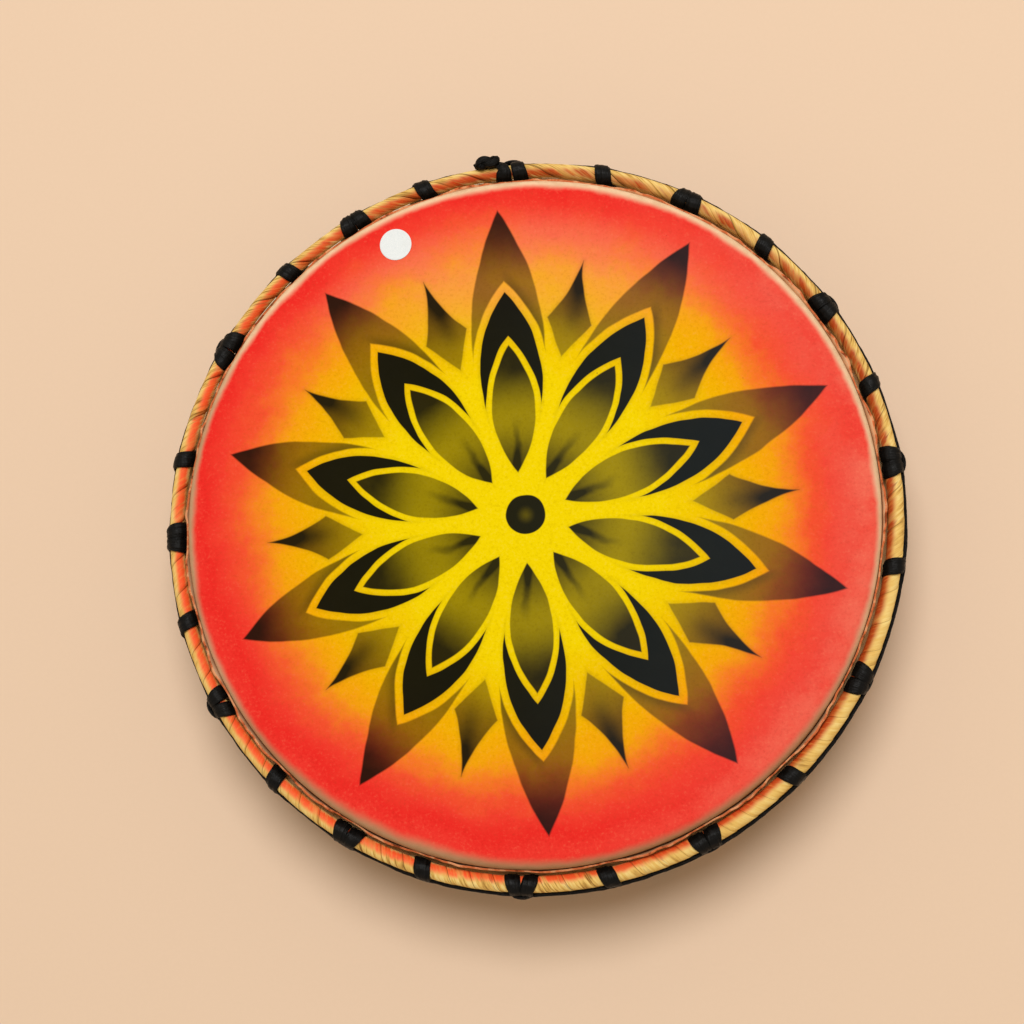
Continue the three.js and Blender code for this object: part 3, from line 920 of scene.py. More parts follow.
@dataclass(frozen=True)
class PaintedSkin:
    """Goatskin, sprayed yellow to red on top with the flower in black, and bare underneath and on the lip."""

    flower: Flower = Flower()
    paint_centre: tuple[float, float] = (0.3 * MM, -1.0 * MM)
    paint_squash: float = 1.004
    painted_to: float = 198.3 * MM
    head_top: float = 86.1 * MM
    name: str = "painted_skin"
    ink: Colour = screen(19, 20, 12)
    cold_ink: Colour = screen(26, 34, 39)
    cream: Colour = screen(247, 214, 178)
    lip: Colour = screen(226, 126, 78)
    underside: Colour = screen(206, 172, 128)
    blush: Colour = screen(252, 140, 112)
    # Painted highlight and painted shade of the skin's grain: lighter on its raised points, darker in its
    # pits.
    grain_highlight: Colour = screen(255, 236, 170)
    grain_shade: Colour = screen(120, 40, 8)
    hide_dark: Colour = screen(214, 172, 132)
    # Painted shade: the bare hide's colour on the side away from the lamp.
    hide_in_painted_shade: Colour = screen(164, 114, 74)
    underside_dark: Colour = screen(168, 128, 84)
    lip_pale: Colour = screen(250, 186, 136)
    lip_dark: Colour = screen(112, 46, 20)
    fall: float = 0.04
    wander: float = 2.6 * MM
    cloud_drift: float = 30 * MM
    mottle_drift: float = 9 * MM
    grain_drift: float = 10 * MM
    overspray: float = 2.6 * MM
    soft_near: float = 6.4 * MM
    soft_far: float = 3.0 * MM
    soft_out: float = 2.4 * MM
    grain_depth: float = 0.1 * MM
    mottle_depth: float = 0.12 * MM
    right_at: float = math.radians(-45)
    right_further: float = 2.9 * MM
    left_at: float = math.radians(211)
    left_further: float = 2.2 * MM

    def ground(self, paint: Paintwork, reach: Signal) -> Signal:
        """The sprayed ground, which runs from yellow to red.

        Args:
            paint: The material's nodes.
            reach: The distance from the flower's middle, in metres.

        Returns:
            The ground's colour.
        """
        far = 200.0 * MM
        rows = [
            (0, screen(246, 221, 1)),
            (80, screen(246, 218, 1)),
            (112, screen(240, 194, 1)),
            (130, screen(244, 181, 2)),
            (144, screen(246, 168, 14)),
            (156, screen(247, 128, 40)),
            (168, screen(245, 86, 50)),
            (179, screen(243, 62, 48)),
            (188, screen(240, 46, 40)),
            (198, screen(243, 58, 49)),
        ]
        return paint.ramp(reach / far, [(at * MM / far, colour) for at, colour in rows])

    def inked(self, x: Signal, y: Signal, cloud: Signal) -> Signal:
        """How thick the black lies.

        Args:
            x: The point's place from the flower's middle.
            y: The same, along the second axis.
            cloud: Random values that make the spray uneven.

        Returns:
            The thickness, from 0 where there is none to 1 where nothing shows through.
        """
        flower = self.flower
        half = math.pi / flower.petals
        x, y = flower.laid(x, y)
        reach = x.hypot(y)
        angle = y.angle_to(x)

        def axis(turn: float) -> tuple[Signal, Signal, Signal]:
            """Distances along and beside the nearest axis, and the signed one beside it."""
            off = (angle - turn).folded(half)
            beside = reach * off.sine()
            return reach * off.cosine(), abs(beside), beside

        along, across, beside = axis(flower.turn)
        leaf_edge = flower.leaf.edge(along, across)
        chevron_edge = flower.chevron.edge(along, across)
        petal_edge = flower.petal.edge(along, across)
        dart_along, dart_across, dart_beside = axis(flower.turn + half)
        dart_edge = flower.dart.edge(dart_along, dart_across)

        def covered(edge: Signal, blur: float) -> Signal:
            """A shape filled up to its edge, with a blur."""
            return edge.rise(blur, -blur)

        def haze(edge: Signal, share: float = 0.13) -> Signal:
            """The thin overspray just outside a shape."""
            return edge.rise(self.overspray, 0.0) * share

        uneven = (cloud - 0.5) * 0.16
        bend = (cloud - 0.5) * (16 * MM) * along.rise(32 * MM, 52 * MM)
        streak = abs((beside + (along - 34 * MM) * 0.09 + bend) / (3.6 * MM)).rise(1.0, 0.1)
        base_dark = along.rise(58 * MM, 28 * MM) * 0.27 + streak * along.rise(63 * MM, 47 * MM) * 0.13
        leaf_tone = (along.rise(*flower.leaf.darkens) * 0.32 + base_dark + 0.66 + uneven).least(0.98)
        leaf = (covered(leaf_edge, flower.leaf.blur) * leaf_tone).most(haze(leaf_edge, 0.06))
        band = chevron_edge.most(flower.leaf_line - leaf_edge)
        chevron = (covered(band, flower.chevron.blur) * (0.995 + uneven * 0.05)).most(haze(band))
        shade = (chevron_edge - flower.chevron_line).rise(7 * MM, 0.0) * beside.rise(3 * MM, -6 * MM)
        petal_tone = along.rise(*flower.petal.darkens) * 0.3 + 0.665 + shade * 0.14 + uneven
        petal_band = petal_edge.most(flower.chevron_line - chevron_edge).most(flower.petal_from - along)
        petal = covered(petal_band, flower.petal.blur) * petal_tone.least(0.975)
        smudge = abs((dart_beside + 2 * MM) / (9 * MM)).rise(1.0, 0.0)
        smudge = smudge * dart_along.rise(104 * MM, 122 * MM) * 0.1
        dart_tone = dart_along.rise(*flower.dart.darkens) * 0.33 + 0.61
        dart = covered(dart_edge, flower.dart.blur) * (dart_tone + smudge + uneven).least(0.985)
        dart = dart.most(haze(dart_edge))
        eye_reach = (x - flower.eye_place[0]).hypot(y - flower.eye_place[1])
        eye_tone = eye_reach.rise(-1 * MM, 6 * MM) * 0.105 + 0.885
        eye = covered(eye_reach - flower.eye, flower.eye_blur) * eye_tone
        return leaf.most(chevron).most(petal).most(dart).most(eye)

    def bared(self, x: Signal, y: Signal, z: Signal, mottle: Signal, cloud: Signal) -> Signal:
        """How far the paint has given out towards the head's edge.

        Args:
            x: The point's place on the drum.
            y: The same, along the second axis.
            z: Its height.
            mottle: Small random values that roughen the paint's edge.
            cloud: Large random values that move it in and out.

        Returns:
            How much bare skin shows, 0 to 1.
        """
        sunk = (self.head_top - z) * 0.6
        out = (x - self.paint_centre[0]).hypot((y - self.paint_centre[1]) * self.paint_squash) + sunk
        fuzzy = out + (mottle - 0.5) * (2.5 * MM) + (cloud - 0.5) * (5 * MM)
        soft = y.span(-150 * MM, 40 * MM, self.soft_near, self.soft_far)
        azimuth = y.angle_to(x)
        to_right = azimuth.facing(self.right_at).rise(0.53, 0.88) * self.right_further
        to_left = azimuth.facing(self.left_at).rise(0.9, 0.985) * self.left_further
        further = to_right + to_left
        return ((fuzzy - self.painted_to - further + soft) / (soft + self.soft_out)).rise(0.0, 1.0)

    def material(self) -> bpy.types.Material:
        """Wire the skin.

        Returns:
            The material.
        """
        paint = Paintwork(self.name)
        place = paint.place()
        x, y, z = paint.parted(place)
        top = paint.mark("skin_painted")
        lip = paint.mark("skin_lip")
        cloud = paint.noise(place, 26.0, 4.0, 0.6)
        grain = paint.noise(place, 620.0, 3.0, 0.65)
        mottle = paint.noise(place, 150.0, 3.0, 0.6)
        hand_x = (paint.noise(paint.joined(x, y, 0.3), 38.0, 2.0) - 0.5) * self.wander
        hand_y = (paint.noise(paint.joined(x, y, 0.7), 38.0, 2.0) - 0.5) * self.wander
        from_x = x - self.flower.centre[0] + hand_x
        from_y = y - self.flower.centre[1] + hand_y
        drift = (cloud - 0.5) * self.cloud_drift + (mottle - 0.5) * self.mottle_drift
        drift = drift + (grain - 0.5) * self.grain_drift
        ground = self.ground(paint, from_x.hypot(from_y) + drift - from_y * self.fall)
        reach = x.hypot(y)
        thin = x.rise(20 * MM, 190 * MM) * reach.rise(160 * MM, 197 * MM) * cloud.span(0.35, 0.6, 0.05, 0.17)
        ground = paint.blend(thin, ground, self.cream)
        blush = y.rise(95 * MM, 150 * MM) * reach.rise(188 * MM, 165 * MM) * cloud.span(0.35, 0.6, 0.1, 0.36)
        ground = paint.blend(blush, ground, self.blush)
        # Partly the skin's own grain, partly painted highlight and shade: lighter where the relief is raised,
        # darker where it is low.
        ground = paint.blend(grain.rise(0.52, 0.74) * 0.05, ground, self.grain_highlight)
        ground = paint.blend(grain.rise(0.5, 0.28) * 0.15, ground, self.grain_shade)
        flower_ink = self.inked(from_x, from_y, cloud)
        speck_far, speck_own = paint.cells(place, 70.0)
        speck = speck_far.rise(0.035, 0.02) * speck_own.rise(0.6, 0.62)
        ink = flower_ink.most(speck * 0.7)
        painted = paint.blend(ink, ground, paint.blend(x.rise(-60 * MM, 130 * MM), self.ink, self.cold_ink))
        bare = self.bared(x, y, z, mottle, cloud)
        hide = paint.blend(mottle.rise(0.35, 0.7) * 0.5, self.cream, self.hide_dark)
        # Painted shade: the bare hide darkens towards the bottom and the left edge, the side away from the
        # lamp.
        painted_shade = y.rise(-30 * MM, -150 * MM).most(x.rise(-162 * MM, -196 * MM) * 0.8)
        hide = paint.blend(painted_shade * 0.7, hide, self.hide_in_painted_shade)
        faced = paint.blend(bare, painted, hide)
        raw = paint.blend(mottle.rise(0.35, 0.7) * 0.6, self.underside, self.underside_dark)
        sides = paint.blend(top, raw, faced)
        nicks = paint.noise(place, 150.0, 4.0, 0.62)
        rim = paint.blend(nicks.rise(0.5, 0.42) * 0.8, self.lip, self.lip_pale)
        # Painted shade: a dark line along the middle of the lip's cut edge, for the seam between its layers;
        # the dark nicks beside it are the edge's own.
        split = abs(top - 0.5).rise(0.2, 0.08) * lip.rise(0.9, 0.98)
        rim = paint.blend((split * 0.4).most(nicks.rise(0.54, 0.64) * 0.8), rim, self.lip_dark)
        colour = paint.blend(lip.rise(0.96, 0.995), sides, rim)
        relief = paint.bumped(grain * self.grain_depth + mottle * self.mottle_depth)
        return paint.surface(colour, mottle.span(0.3, 0.7, 0.5, 0.64), relief, Specular_IOR_Level=0.01)


@dataclass(frozen=True)
class StudioFloor:
    """Smooth pale paper on the floor."""

    name: str = "studio_floor"
    tone: Colour = screen(240, 214, 189)
    fleck: Colour = screen(222, 198, 170)
    fleck_depth: float = 0.02 * MM

    def material(self) -> bpy.types.Material:
        """Wire the floor.

        Returns:
            The material.
        """
        paint = Paintwork(self.name)
        fine = paint.noise(paint.place(), 400.0, 3.0)
        colour = paint.blend(fine.rise(0.3, 0.7) * 0.05, self.tone, self.fleck)
        relief = paint.bumped(fine * self.fleck_depth)
        return paint.surface(colour, 0.8, relief, Specular_IOR_Level=0.1)


@dataclass(frozen=True)
class Ring:
    """A ring of round rod: the radius and height of the rod's centre, and the rod's own radius."""

    radius: float
    height: float
    tube: float

    @classmethod
    def of(cls, node: str) -> "Ring":
        """Read a ring's sizes from the box of its solid.

        Args:
            node: The solid's node.

        Returns:
            The ring.
        """
        low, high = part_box(node)
        tube = (high.z - low.z) / 2
        return cls(high.x - tube, (high.z + low.z) / 2, tube)


@dataclass
class WoodenFrame:
    """The drum's wooden shell and the hoop round its foot."""

    wall: float = 12 * MM
    bearing_round: float = 5.5 * MM
    bearing_bevel: float = 6 * MM
    bevel_ease: Pairs = ((0.7 * MM, 0.8 * MM), (0.2 * MM, 0.2 * MM), (0.0, -0.6 * MM))
    edge: float = 1.2 * MM
    hoop_seat: float = 0.3 * MM
    hoop_chamfer: float = 2.5 * MM
    sides: int = 288
    shell_finish: HoopWood = HoopWood("frame_wood", screen(176, 116, 64), screen(112, 66, 32))
    hoop_finish: HoopWood = HoopWood("foot_wood", screen(142, 86, 44), screen(84, 48, 24))

    def shell_profile(self) -> np.ndarray:
        """The shell's section: straight wall, rounded bearing edge outside and a bevel inside it.

        Returns:
            The section's points, as rows of radius and height.
        """
        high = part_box("frame_shell")[1]
        inside = high.x - self.wall
        bearing = (high.x - self.bearing_round, high.z - self.bearing_round)
        shoulder = high.z - self.bearing_bevel
        return np.concatenate([
            arc((inside + self.edge, self.edge), self.edge, 180, 270, 5),
            arc((high.x - self.edge, self.edge), self.edge, 270, 360, 5),
            arc(bearing, self.bearing_round, 0, 90, 10),
            [(inside + out, shoulder + up) for out, up in self.bevel_ease],
        ])

    def hoop_profile(self) -> np.ndarray:
        """The foot hoop's section, with its upper outer edge chamfered.

        Returns:
            The section's points, as rows of radius and height.
        """
        low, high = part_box("foot_hoop")
        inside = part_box("frame_shell")[1].x + self.hoop_seat
        outside, edge, cut = high.x, self.edge / 2, self.hoop_chamfer
        return np.concatenate([
            [(inside, low.z)],
            arc((outside - self.edge, low.z + self.edge), self.edge, 270, 360, 6),
            arc((outside - edge, high.z - cut - edge / 2), edge, 0, 45, 3),
            arc((outside - cut - edge / 2, high.z - edge), edge, 45, 90, 3),
            [(inside, high.z)],
        ])

    def build(self) -> None:
        """Turn the shell and the hoop and dress them."""
        angle = azimuths(self.sides)
        for name, node, profile, finish in (
            ("wooden_shell", "frame_shell", self.shell_profile(), self.shell_finish),
            ("wooden_foot_hoop", "foot_hoop", self.hoop_profile(), self.hoop_finish),
        ):
            points = turned(angle, profile[:, 0], profile[:, 1])
            mesh = round_mesh(name, points, True, {})
            show(name, mesh, finish.material(), finish.name, node)


@dataclass
class Head:
    """The skin: over the bearing edge, down as a collar, round the flesh ring and up again as a cut lip."""

    lashings: np.ndarray
    ring_height: float
    skin: float = 0.8 * MM
    seat: float = 0.3 * MM
    bearing_round: float = 5.5 * MM
    flesh_rod: float = 5 * MM
    lip_gap: float = 0.1 * MM
    lip_fold: float = 1.2 * MM
    lip_rise: float = 5.6 * MM
    lip_swell: float = 0.3 * MM
    lip_lean: float = 0.7 * MM
    lip_wave: float = 0.65 * MM
    lip_rag: float = 0.8 * MM
    lip_pushes: Pairs = ((22.0, 1.2 * MM), (208.0, 1.5 * MM), (308.0, 0.9 * MM))
    push_width: float = 27.0
    lip_limits: tuple[float, float] = (-0.2 * MM, 2.6 * MM)
    lip_waves: Waves = ((0.7, range(10, 44), 3), (0.45, range(60, 150), 4))
    rag_limits: tuple[float, float] = (-1.4, 1.0)
    rag_waves: Waves = ((0.6, range(9, 40), 5), (0.35, range(90, 170), 6))
    flat_rings: int = 9
    lip_steps: int = 14
    lashing_half: float = 11 * MM
    sides: int = 720
    finish: PaintedSkin = PaintedSkin()

    def sections(self) -> tuple[np.ndarray, np.ndarray]:
        """The skin's two sides in the radial plane.

        Returns:
            The points of the painted side and of the bare side, as many of each, from the axis to the edge.
        """
        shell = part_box("frame_shell")[1]
        low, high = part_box("flesh_ring")
        flesh = np.array([high.x - self.flesh_rod / 2, (low.z + high.z) / 2])
        bearing = np.array([shell.x - self.bearing_round, shell.z - self.bearing_round])
        bearing_reach = self.bearing_round + self.seat + self.skin / 2
        flesh_reach = self.flesh_rod / 2 + self.seat + self.skin / 2
        span = flesh - bearing
        tilt = math.atan2(span[1], span[0]) + math.acos((bearing_reach + flesh_reach) / math.hypot(*span))
        normal = np.array([math.cos(tilt), math.sin(tilt)])
        foot = flesh - normal * flesh_reach
        fold_height = flesh[1] + flesh_reach + self.lip_fold
        fold_side = self.skin + self.lip_gap + self.lip_fold - (fold_height - foot[1]) * normal[1]
        fold = (foot[0] + fold_side / normal[0], fold_height)
        way = np.array([-normal[1], normal[0]])
        slope = math.degrees(tilt)

        def side(out: float) -> np.ndarray:
            """One side, at a distance from the middle of the skin."""
            top = shell.z + self.seat + self.skin / 2 + out
            flat = [(share * bearing[0], top) for share in np.linspace(0, 1, self.flat_rings)]
            edge = arc(fold, self.lip_fold + out, 270, 180 + slope, 5)
            length = (self.ring_height + self.lip_rise - edge[-1][1]) / normal[0]
            lip = [edge[-1] + way * length * share for share in np.linspace(0, 1, self.lip_steps + 1)[1:]]
            return np.concatenate([
                flat[:-1],
                arc(bearing, bearing_reach + out, 90, slope, 10),
                arc(flesh, flesh_reach - out, 180 + slope, 450, 18),
                edge[1:],
                lip,
            ])

        return side(self.skin / 2), side(-self.skin / 2)

    def pressed(self, angle: np.ndarray) -> np.ndarray:
        """How hard the lashings press on the lip, by azimuth.

        Args:
            angle: The azimuths.

        Returns:
            Values from 0 between the lashings to 1 at one.
        """
        gaps = (angle[:, None] - np.radians(self.lashings)[None, :] + math.pi) % FULL_TURN - math.pi
        nearest = np.abs(gaps).min(axis=1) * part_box("frame_shell")[1].x
        return np.exp(-((nearest / self.lashing_half) ** 4))

    def pushed(self, angle: np.ndarray) -> np.ndarray:
        """How far the lip was bent outwards by hand, by azimuth.

        Args:
            angle: The azimuths.

        Returns:
            The distances.
        """
        total = np.zeros_like(angle)
        for place, reach in self.lip_pushes:
            off = (np.degrees(angle) - place + 180) % 360 - 180
            total += reach * np.exp(-((off / self.push_width) ** 4))
        return total

    def build(self) -> None:
        """Make the skin with its uneven lip and dress it."""
        angle = azimuths(self.sides)
        over, under = self.sections()
        tip = [(over[-1] + under[-1]) / 2 + (0, self.skin / 2)]
        profile = np.concatenate([over, tip, under[::-1]])
        up = np.zeros(len(over))
        up[-self.lip_steps:] = np.linspace(0, 1, self.lip_steps + 1)[1:]
        share = np.concatenate([up, [1.0], up[::-1]])
        bare = np.concatenate([np.zeros(len(over)), [0.5], np.ones(len(under))])
        free = (1 - self.pressed(angle))[:, None]
        out = self.lip_lean + self.lip_wave * waved(angle, self.lip_waves) + self.pushed(angle)
        rag = waved(angle, self.rag_waves)[:, None]
        swell = self.lip_swell * share * bare * (0.35 + 0.65 * free)
        lean = share**4 * (0.3 + 0.7 * free) * np.clip(out, *self.lip_limits)[:, None]
        radius = profile[None, :, 0] + lean + swell
        height = profile[None, :, 1] + self.lip_rag * share**2 * np.clip(rag, *self.rag_limits)
        marks = {"skin_painted": 1 - bare[None, :], "skin_lip": share[None, :]}
        mesh = round_mesh("goatskin_head", turned(angle, radius, height), False, marks)
        skin = show("goatskin_head", mesh, self.finish.material(), self.finish.name, "drum_head")


@dataclass
class CrownRing:
    """The crown ring's leaf winding, over a cane core that stays as its solid."""

    ring: Ring
    leaf: float = 0.45 * MM
    wide_pitch: float = 43 * MM
    close_pitch: float = 13.4 * MM
    overlap: float = 1.14
    shingle: float = 0.28 * MM
    bulk: float = 1.3 * MM
    bulk_at: float = math.radians(-50)
    sink: float = 0.7
    crinkle: float = 0.35 * MM
    wobble: float = 0.12
    start: float = math.radians(-26.3)
    stations: int = 2400
    spans: int = 7
    core_finish: BareCane = BareCane("crown_cane", screen(196, 152, 92), screen(150, 108, 58))

    def winding(self, finish: bpy.types.Material) -> Recipe:
        """Write the recipe for the winding, with wide turns on the far half and close ones on the near half.

        Args:
            finish: The leaf's material.

        Returns:
            The recipe.
        """
        recipe = Recipe("leaf_winding")
        radius = recipe.asks("Ring Radius", InputKind.NUMBER, self.ring.radius)
        height = recipe.asks("Ring Height", InputKind.NUMBER, self.ring.height)
        tube = recipe.asks("Rod Radius", InputKind.NUMBER, self.ring.tube)
        leaf = recipe.asks("Leaf Thickness", InputKind.NUMBER, self.leaf)
        wide = recipe.asks("Wide Pitch", InputKind.NUMBER, self.wide_pitch)
        close = recipe.asks("Close Pitch", InputKind.NUMBER, self.close_pitch)
        overlap = recipe.asks("Overlap", InputKind.NUMBER, self.overlap)
        shingle = recipe.asks("Shingle", InputKind.NUMBER, self.shingle)
        bulk = recipe.asks("Bulk Inside", InputKind.NUMBER, self.bulk)
        start = recipe.asks("Start", InputKind.NUMBER, self.start)
        stations = recipe.asks("Stations", InputKind.COUNT, self.stations)
        spans = recipe.asks("Spans", InputKind.COUNT, self.spans)
        dressed = recipe.asks("Finish", InputKind.FINISH, finish)

        line = recipe.out("GeometryNodeMeshLine", {"Count": stations, "Offset": (0.0, 0.0, MM)})
        rail = recipe.out("GeometryNodeMeshToCurve", {0: line})
        number = recipe.out("GeometryNodeInputIndex", {})
        rail = recipe.marked(rail, "run", number / (stations - 1))
        strip = recipe.tube(rail, spans * 2 + 2)

        run = recipe.mark("run")
        from_middle = recipe.mark("side") - (spans + 0.5)
        side = 1 - (abs(from_middle) - 0.5) / spans
        upper = from_middle.rise(0.1, -0.1)
        azimuth = start - run * FULL_TURN
        mean = (1 / wide + 1 / close) / 2
        swing = (1 / close - 1 / wide) / 2
        rate = mean - swing * azimuth.sine()
        wound = radius * (mean * (start - azimuth) - swing * (azimuth.cosine() - start.cosine()))
        wobble = recipe.noise(recipe.joined(wound, 0.0, 2.0), 1.3, 2.0) - 0.5
        around = wound * FULL_TURN
        width = overlap / rate
        crinkle = recipe.noise(recipe.joined(wound * 5, side * 2, 7.0), 1.0, 3.0) - 0.5
        slack = azimuth.facing(self.bulk_at).rise(0.1, 0.9) * (-around.cosine()).most(0.0)
        lap = shingle * (0.5 - side)
        reach = tube - leaf * self.sink + upper * leaf + lap + crinkle * self.crinkle + slack * bulk
        beside = azimuth - (side - 0.5 + wobble * self.wobble) * width / radius
        out = radius + reach * around.cosine()
        place = recipe.joined(out * beside.cosine(), out * beside.sine(), height + reach * around.sine())
        strip = recipe.marked(strip, "leaf_turns", wound)
        strip = recipe.marked(strip, "leaf_across", side * width)
        strip = recipe.marked(strip, "leaf_edge", abs(side - 0.5) * 2)
        recipe.serve(recipe.moved(strip, place), dressed)
        return recipe

    def build(self) -> None:
        """Wind the leaf on and dress the core."""
        leaf = LeafStrip(self.ring.radius, self.ring.height)
        finish = leaf.material()
        mesh = self.winding(finish).made("leaf_winding", bpy.data.meshes.new("leaf_winding_base"))
        show("leaf_winding", mesh, finish, leaf.name, "crown_ring_wrap")
        dress("crown_ring_core", self.core_finish.material())


@dataclass
class LowerRing:
    """The cane ring under the foot hoop, with the joints of the cane as low swellings."""

    ring: Ring
    swelling: float = 0.35 * MM
    joint_length: float = 5 * MM
    sides: int = 540
    rod_sides: int = 20
    finish: BareCane = BareCane("lower_cane", screen(206, 162, 98), screen(160, 116, 62))

    def build(self) -> None:
        """Make the ring and dress it."""
        angle = azimuths(self.sides)
        step = FULL_TURN / self.finish.joints
        from_joint = np.abs((angle + step / 2) % step - step / 2) * self.ring.radius
        swollen = self.swelling * np.exp(-((from_joint / self.joint_length) ** 2))
        tube = (self.ring.tube - self.swelling + swollen)[:, None]
        around = azimuths(self.rod_sides)[None, :]
        radius = self.ring.radius + tube * np.cos(around)
        height = self.ring.height + tube * np.sin(around)
        points = turned(angle, radius, height)
        mesh = round_mesh("lower_cane_ring", points, True, {})
        show("lower_cane_ring", mesh, self.finish.material(), self.finish.name, "lower_ring")


class Lash(Enum):
    """How the lacing holds the crown ring at one place."""

    HITCH = "two turns that mirror each other, with a bar across their legs"
    TURN = "a single turn"


@dataclass(frozen=True)
class Lashing:
    """One place where the lacing holds the crown ring.

    Its fullness widens the rope, its parting sets a hitch's turns apart, and its bulge is how far a hitch's
    bar stands out.
    """

    degrees: float
    kind: Lash
    fullness: float = 1.0
    parting: float = 0.0
    bulge: float = 0.0

    @property
    def azimuth(self) -> float:
        """The place as an angle in radians."""
        return math.radians(self.degrees)


HITCHES = (
    Lashing(92.9, Lash.HITCH, parting=2.0 * MM, bulge=2.4 * MM),
    Lashing(63.5, Lash.HITCH, parting=0.3 * MM, bulge=0.8 * MM),
    Lashing(35.1, Lash.HITCH, parting=0.3 * MM, bulge=2.3 * MM),
    Lashing(7.8, Lash.HITCH, 1.04, parting=0.3 * MM, bulge=2.8 * MM),
    Lashing(-27.2, Lash.HITCH, 1.08, parting=0.3 * MM, bulge=1.6 * MM),
    Lashing(-61.6, Lash.HITCH, 1.05, parting=0.6 * MM, bulge=1.5 * MM),
    Lashing(-91.3, Lash.HITCH, parting=2.4 * MM, bulge=2.5 * MM),
    Lashing(-120.0, Lash.HITCH, parting=1.0 * MM, bulge=1.0 * MM),
    Lashing(-149.6, Lash.HITCH, parting=2.6 * MM, bulge=3.2 * MM),
    Lashing(-177.7, Lash.HITCH, parting=0.8 * MM, bulge=0.8 * MM),
    Lashing(-210.1, Lash.HITCH, 1.32, parting=1.4 * MM, bulge=2.5 * MM),
    Lashing(-239.7, Lash.HITCH, parting=1.2 * MM, bulge=0.9 * MM),
)
TURNS = (78.0, 48.9, 20.5, -8.8, -45.3, -77.7, -106.9, -134.5, -163.8, -190.5, -226.2, -252.4)


def lashings() -> list[Lashing]:
    """The lashings in the order that the lacing makes them, a hitch and a turn by turns.

    Returns:
        The lashings.
    """
    placed = []
    for hitch, turn in zip(HITCHES, TURNS):
        placed += [hitch, Lashing(turn, Lash.TURN)]
    return placed


@dataclass
class Station:
    """One section of the rope: its centre, the direction of its thickness, its width and its thickness."""

    centre: np.ndarray
    normal: np.ndarray
    width: float
    thick: float

    @classmethod
    def leaning(
        cls, azimuth: float, radius: float, height: float, lean: float, width: float, thick: float
    ) -> "Station":
        """A station whose thickness points outwards at an angle above the level.

        Args:
            azimuth: Where round the drum.
            radius: How far from the axis.
            height: How high.
            lean: The angle of its thickness, in degrees; 0 is outwards and 90 up.
            width: The rope's width there.
            thick: The rope's thickness there.

        Returns:
            The station.
        """
        slope = math.radians(lean)
        normal = upright(azimuth, math.cos(slope), math.sin(slope))
        return cls(upright(azimuth, radius, height), normal, width, thick)


def upright(azimuth: float, radius: float, height: float) -> np.ndarray:
    """A point from its azimuth, radius and height."""
    return np.array([radius * math.cos(azimuth), radius * math.sin(azimuth), height])


def outward_at(point: np.ndarray) -> np.ndarray:
    """The level direction from the drum's axis to a point."""
    return upright(math.atan2(point[1], point[0]), 1.0, 0.0)


def sideways(azimuth: float) -> np.ndarray:
    """The direction along a ring at an azimuth, anticlockwise from above."""
    return np.array([-math.sin(azimuth), math.cos(azimuth), 0.0])


def mix(first: float, last: float, share: float) -> float:
    """A value part of the way between two others."""
    return first + (last - first) * share


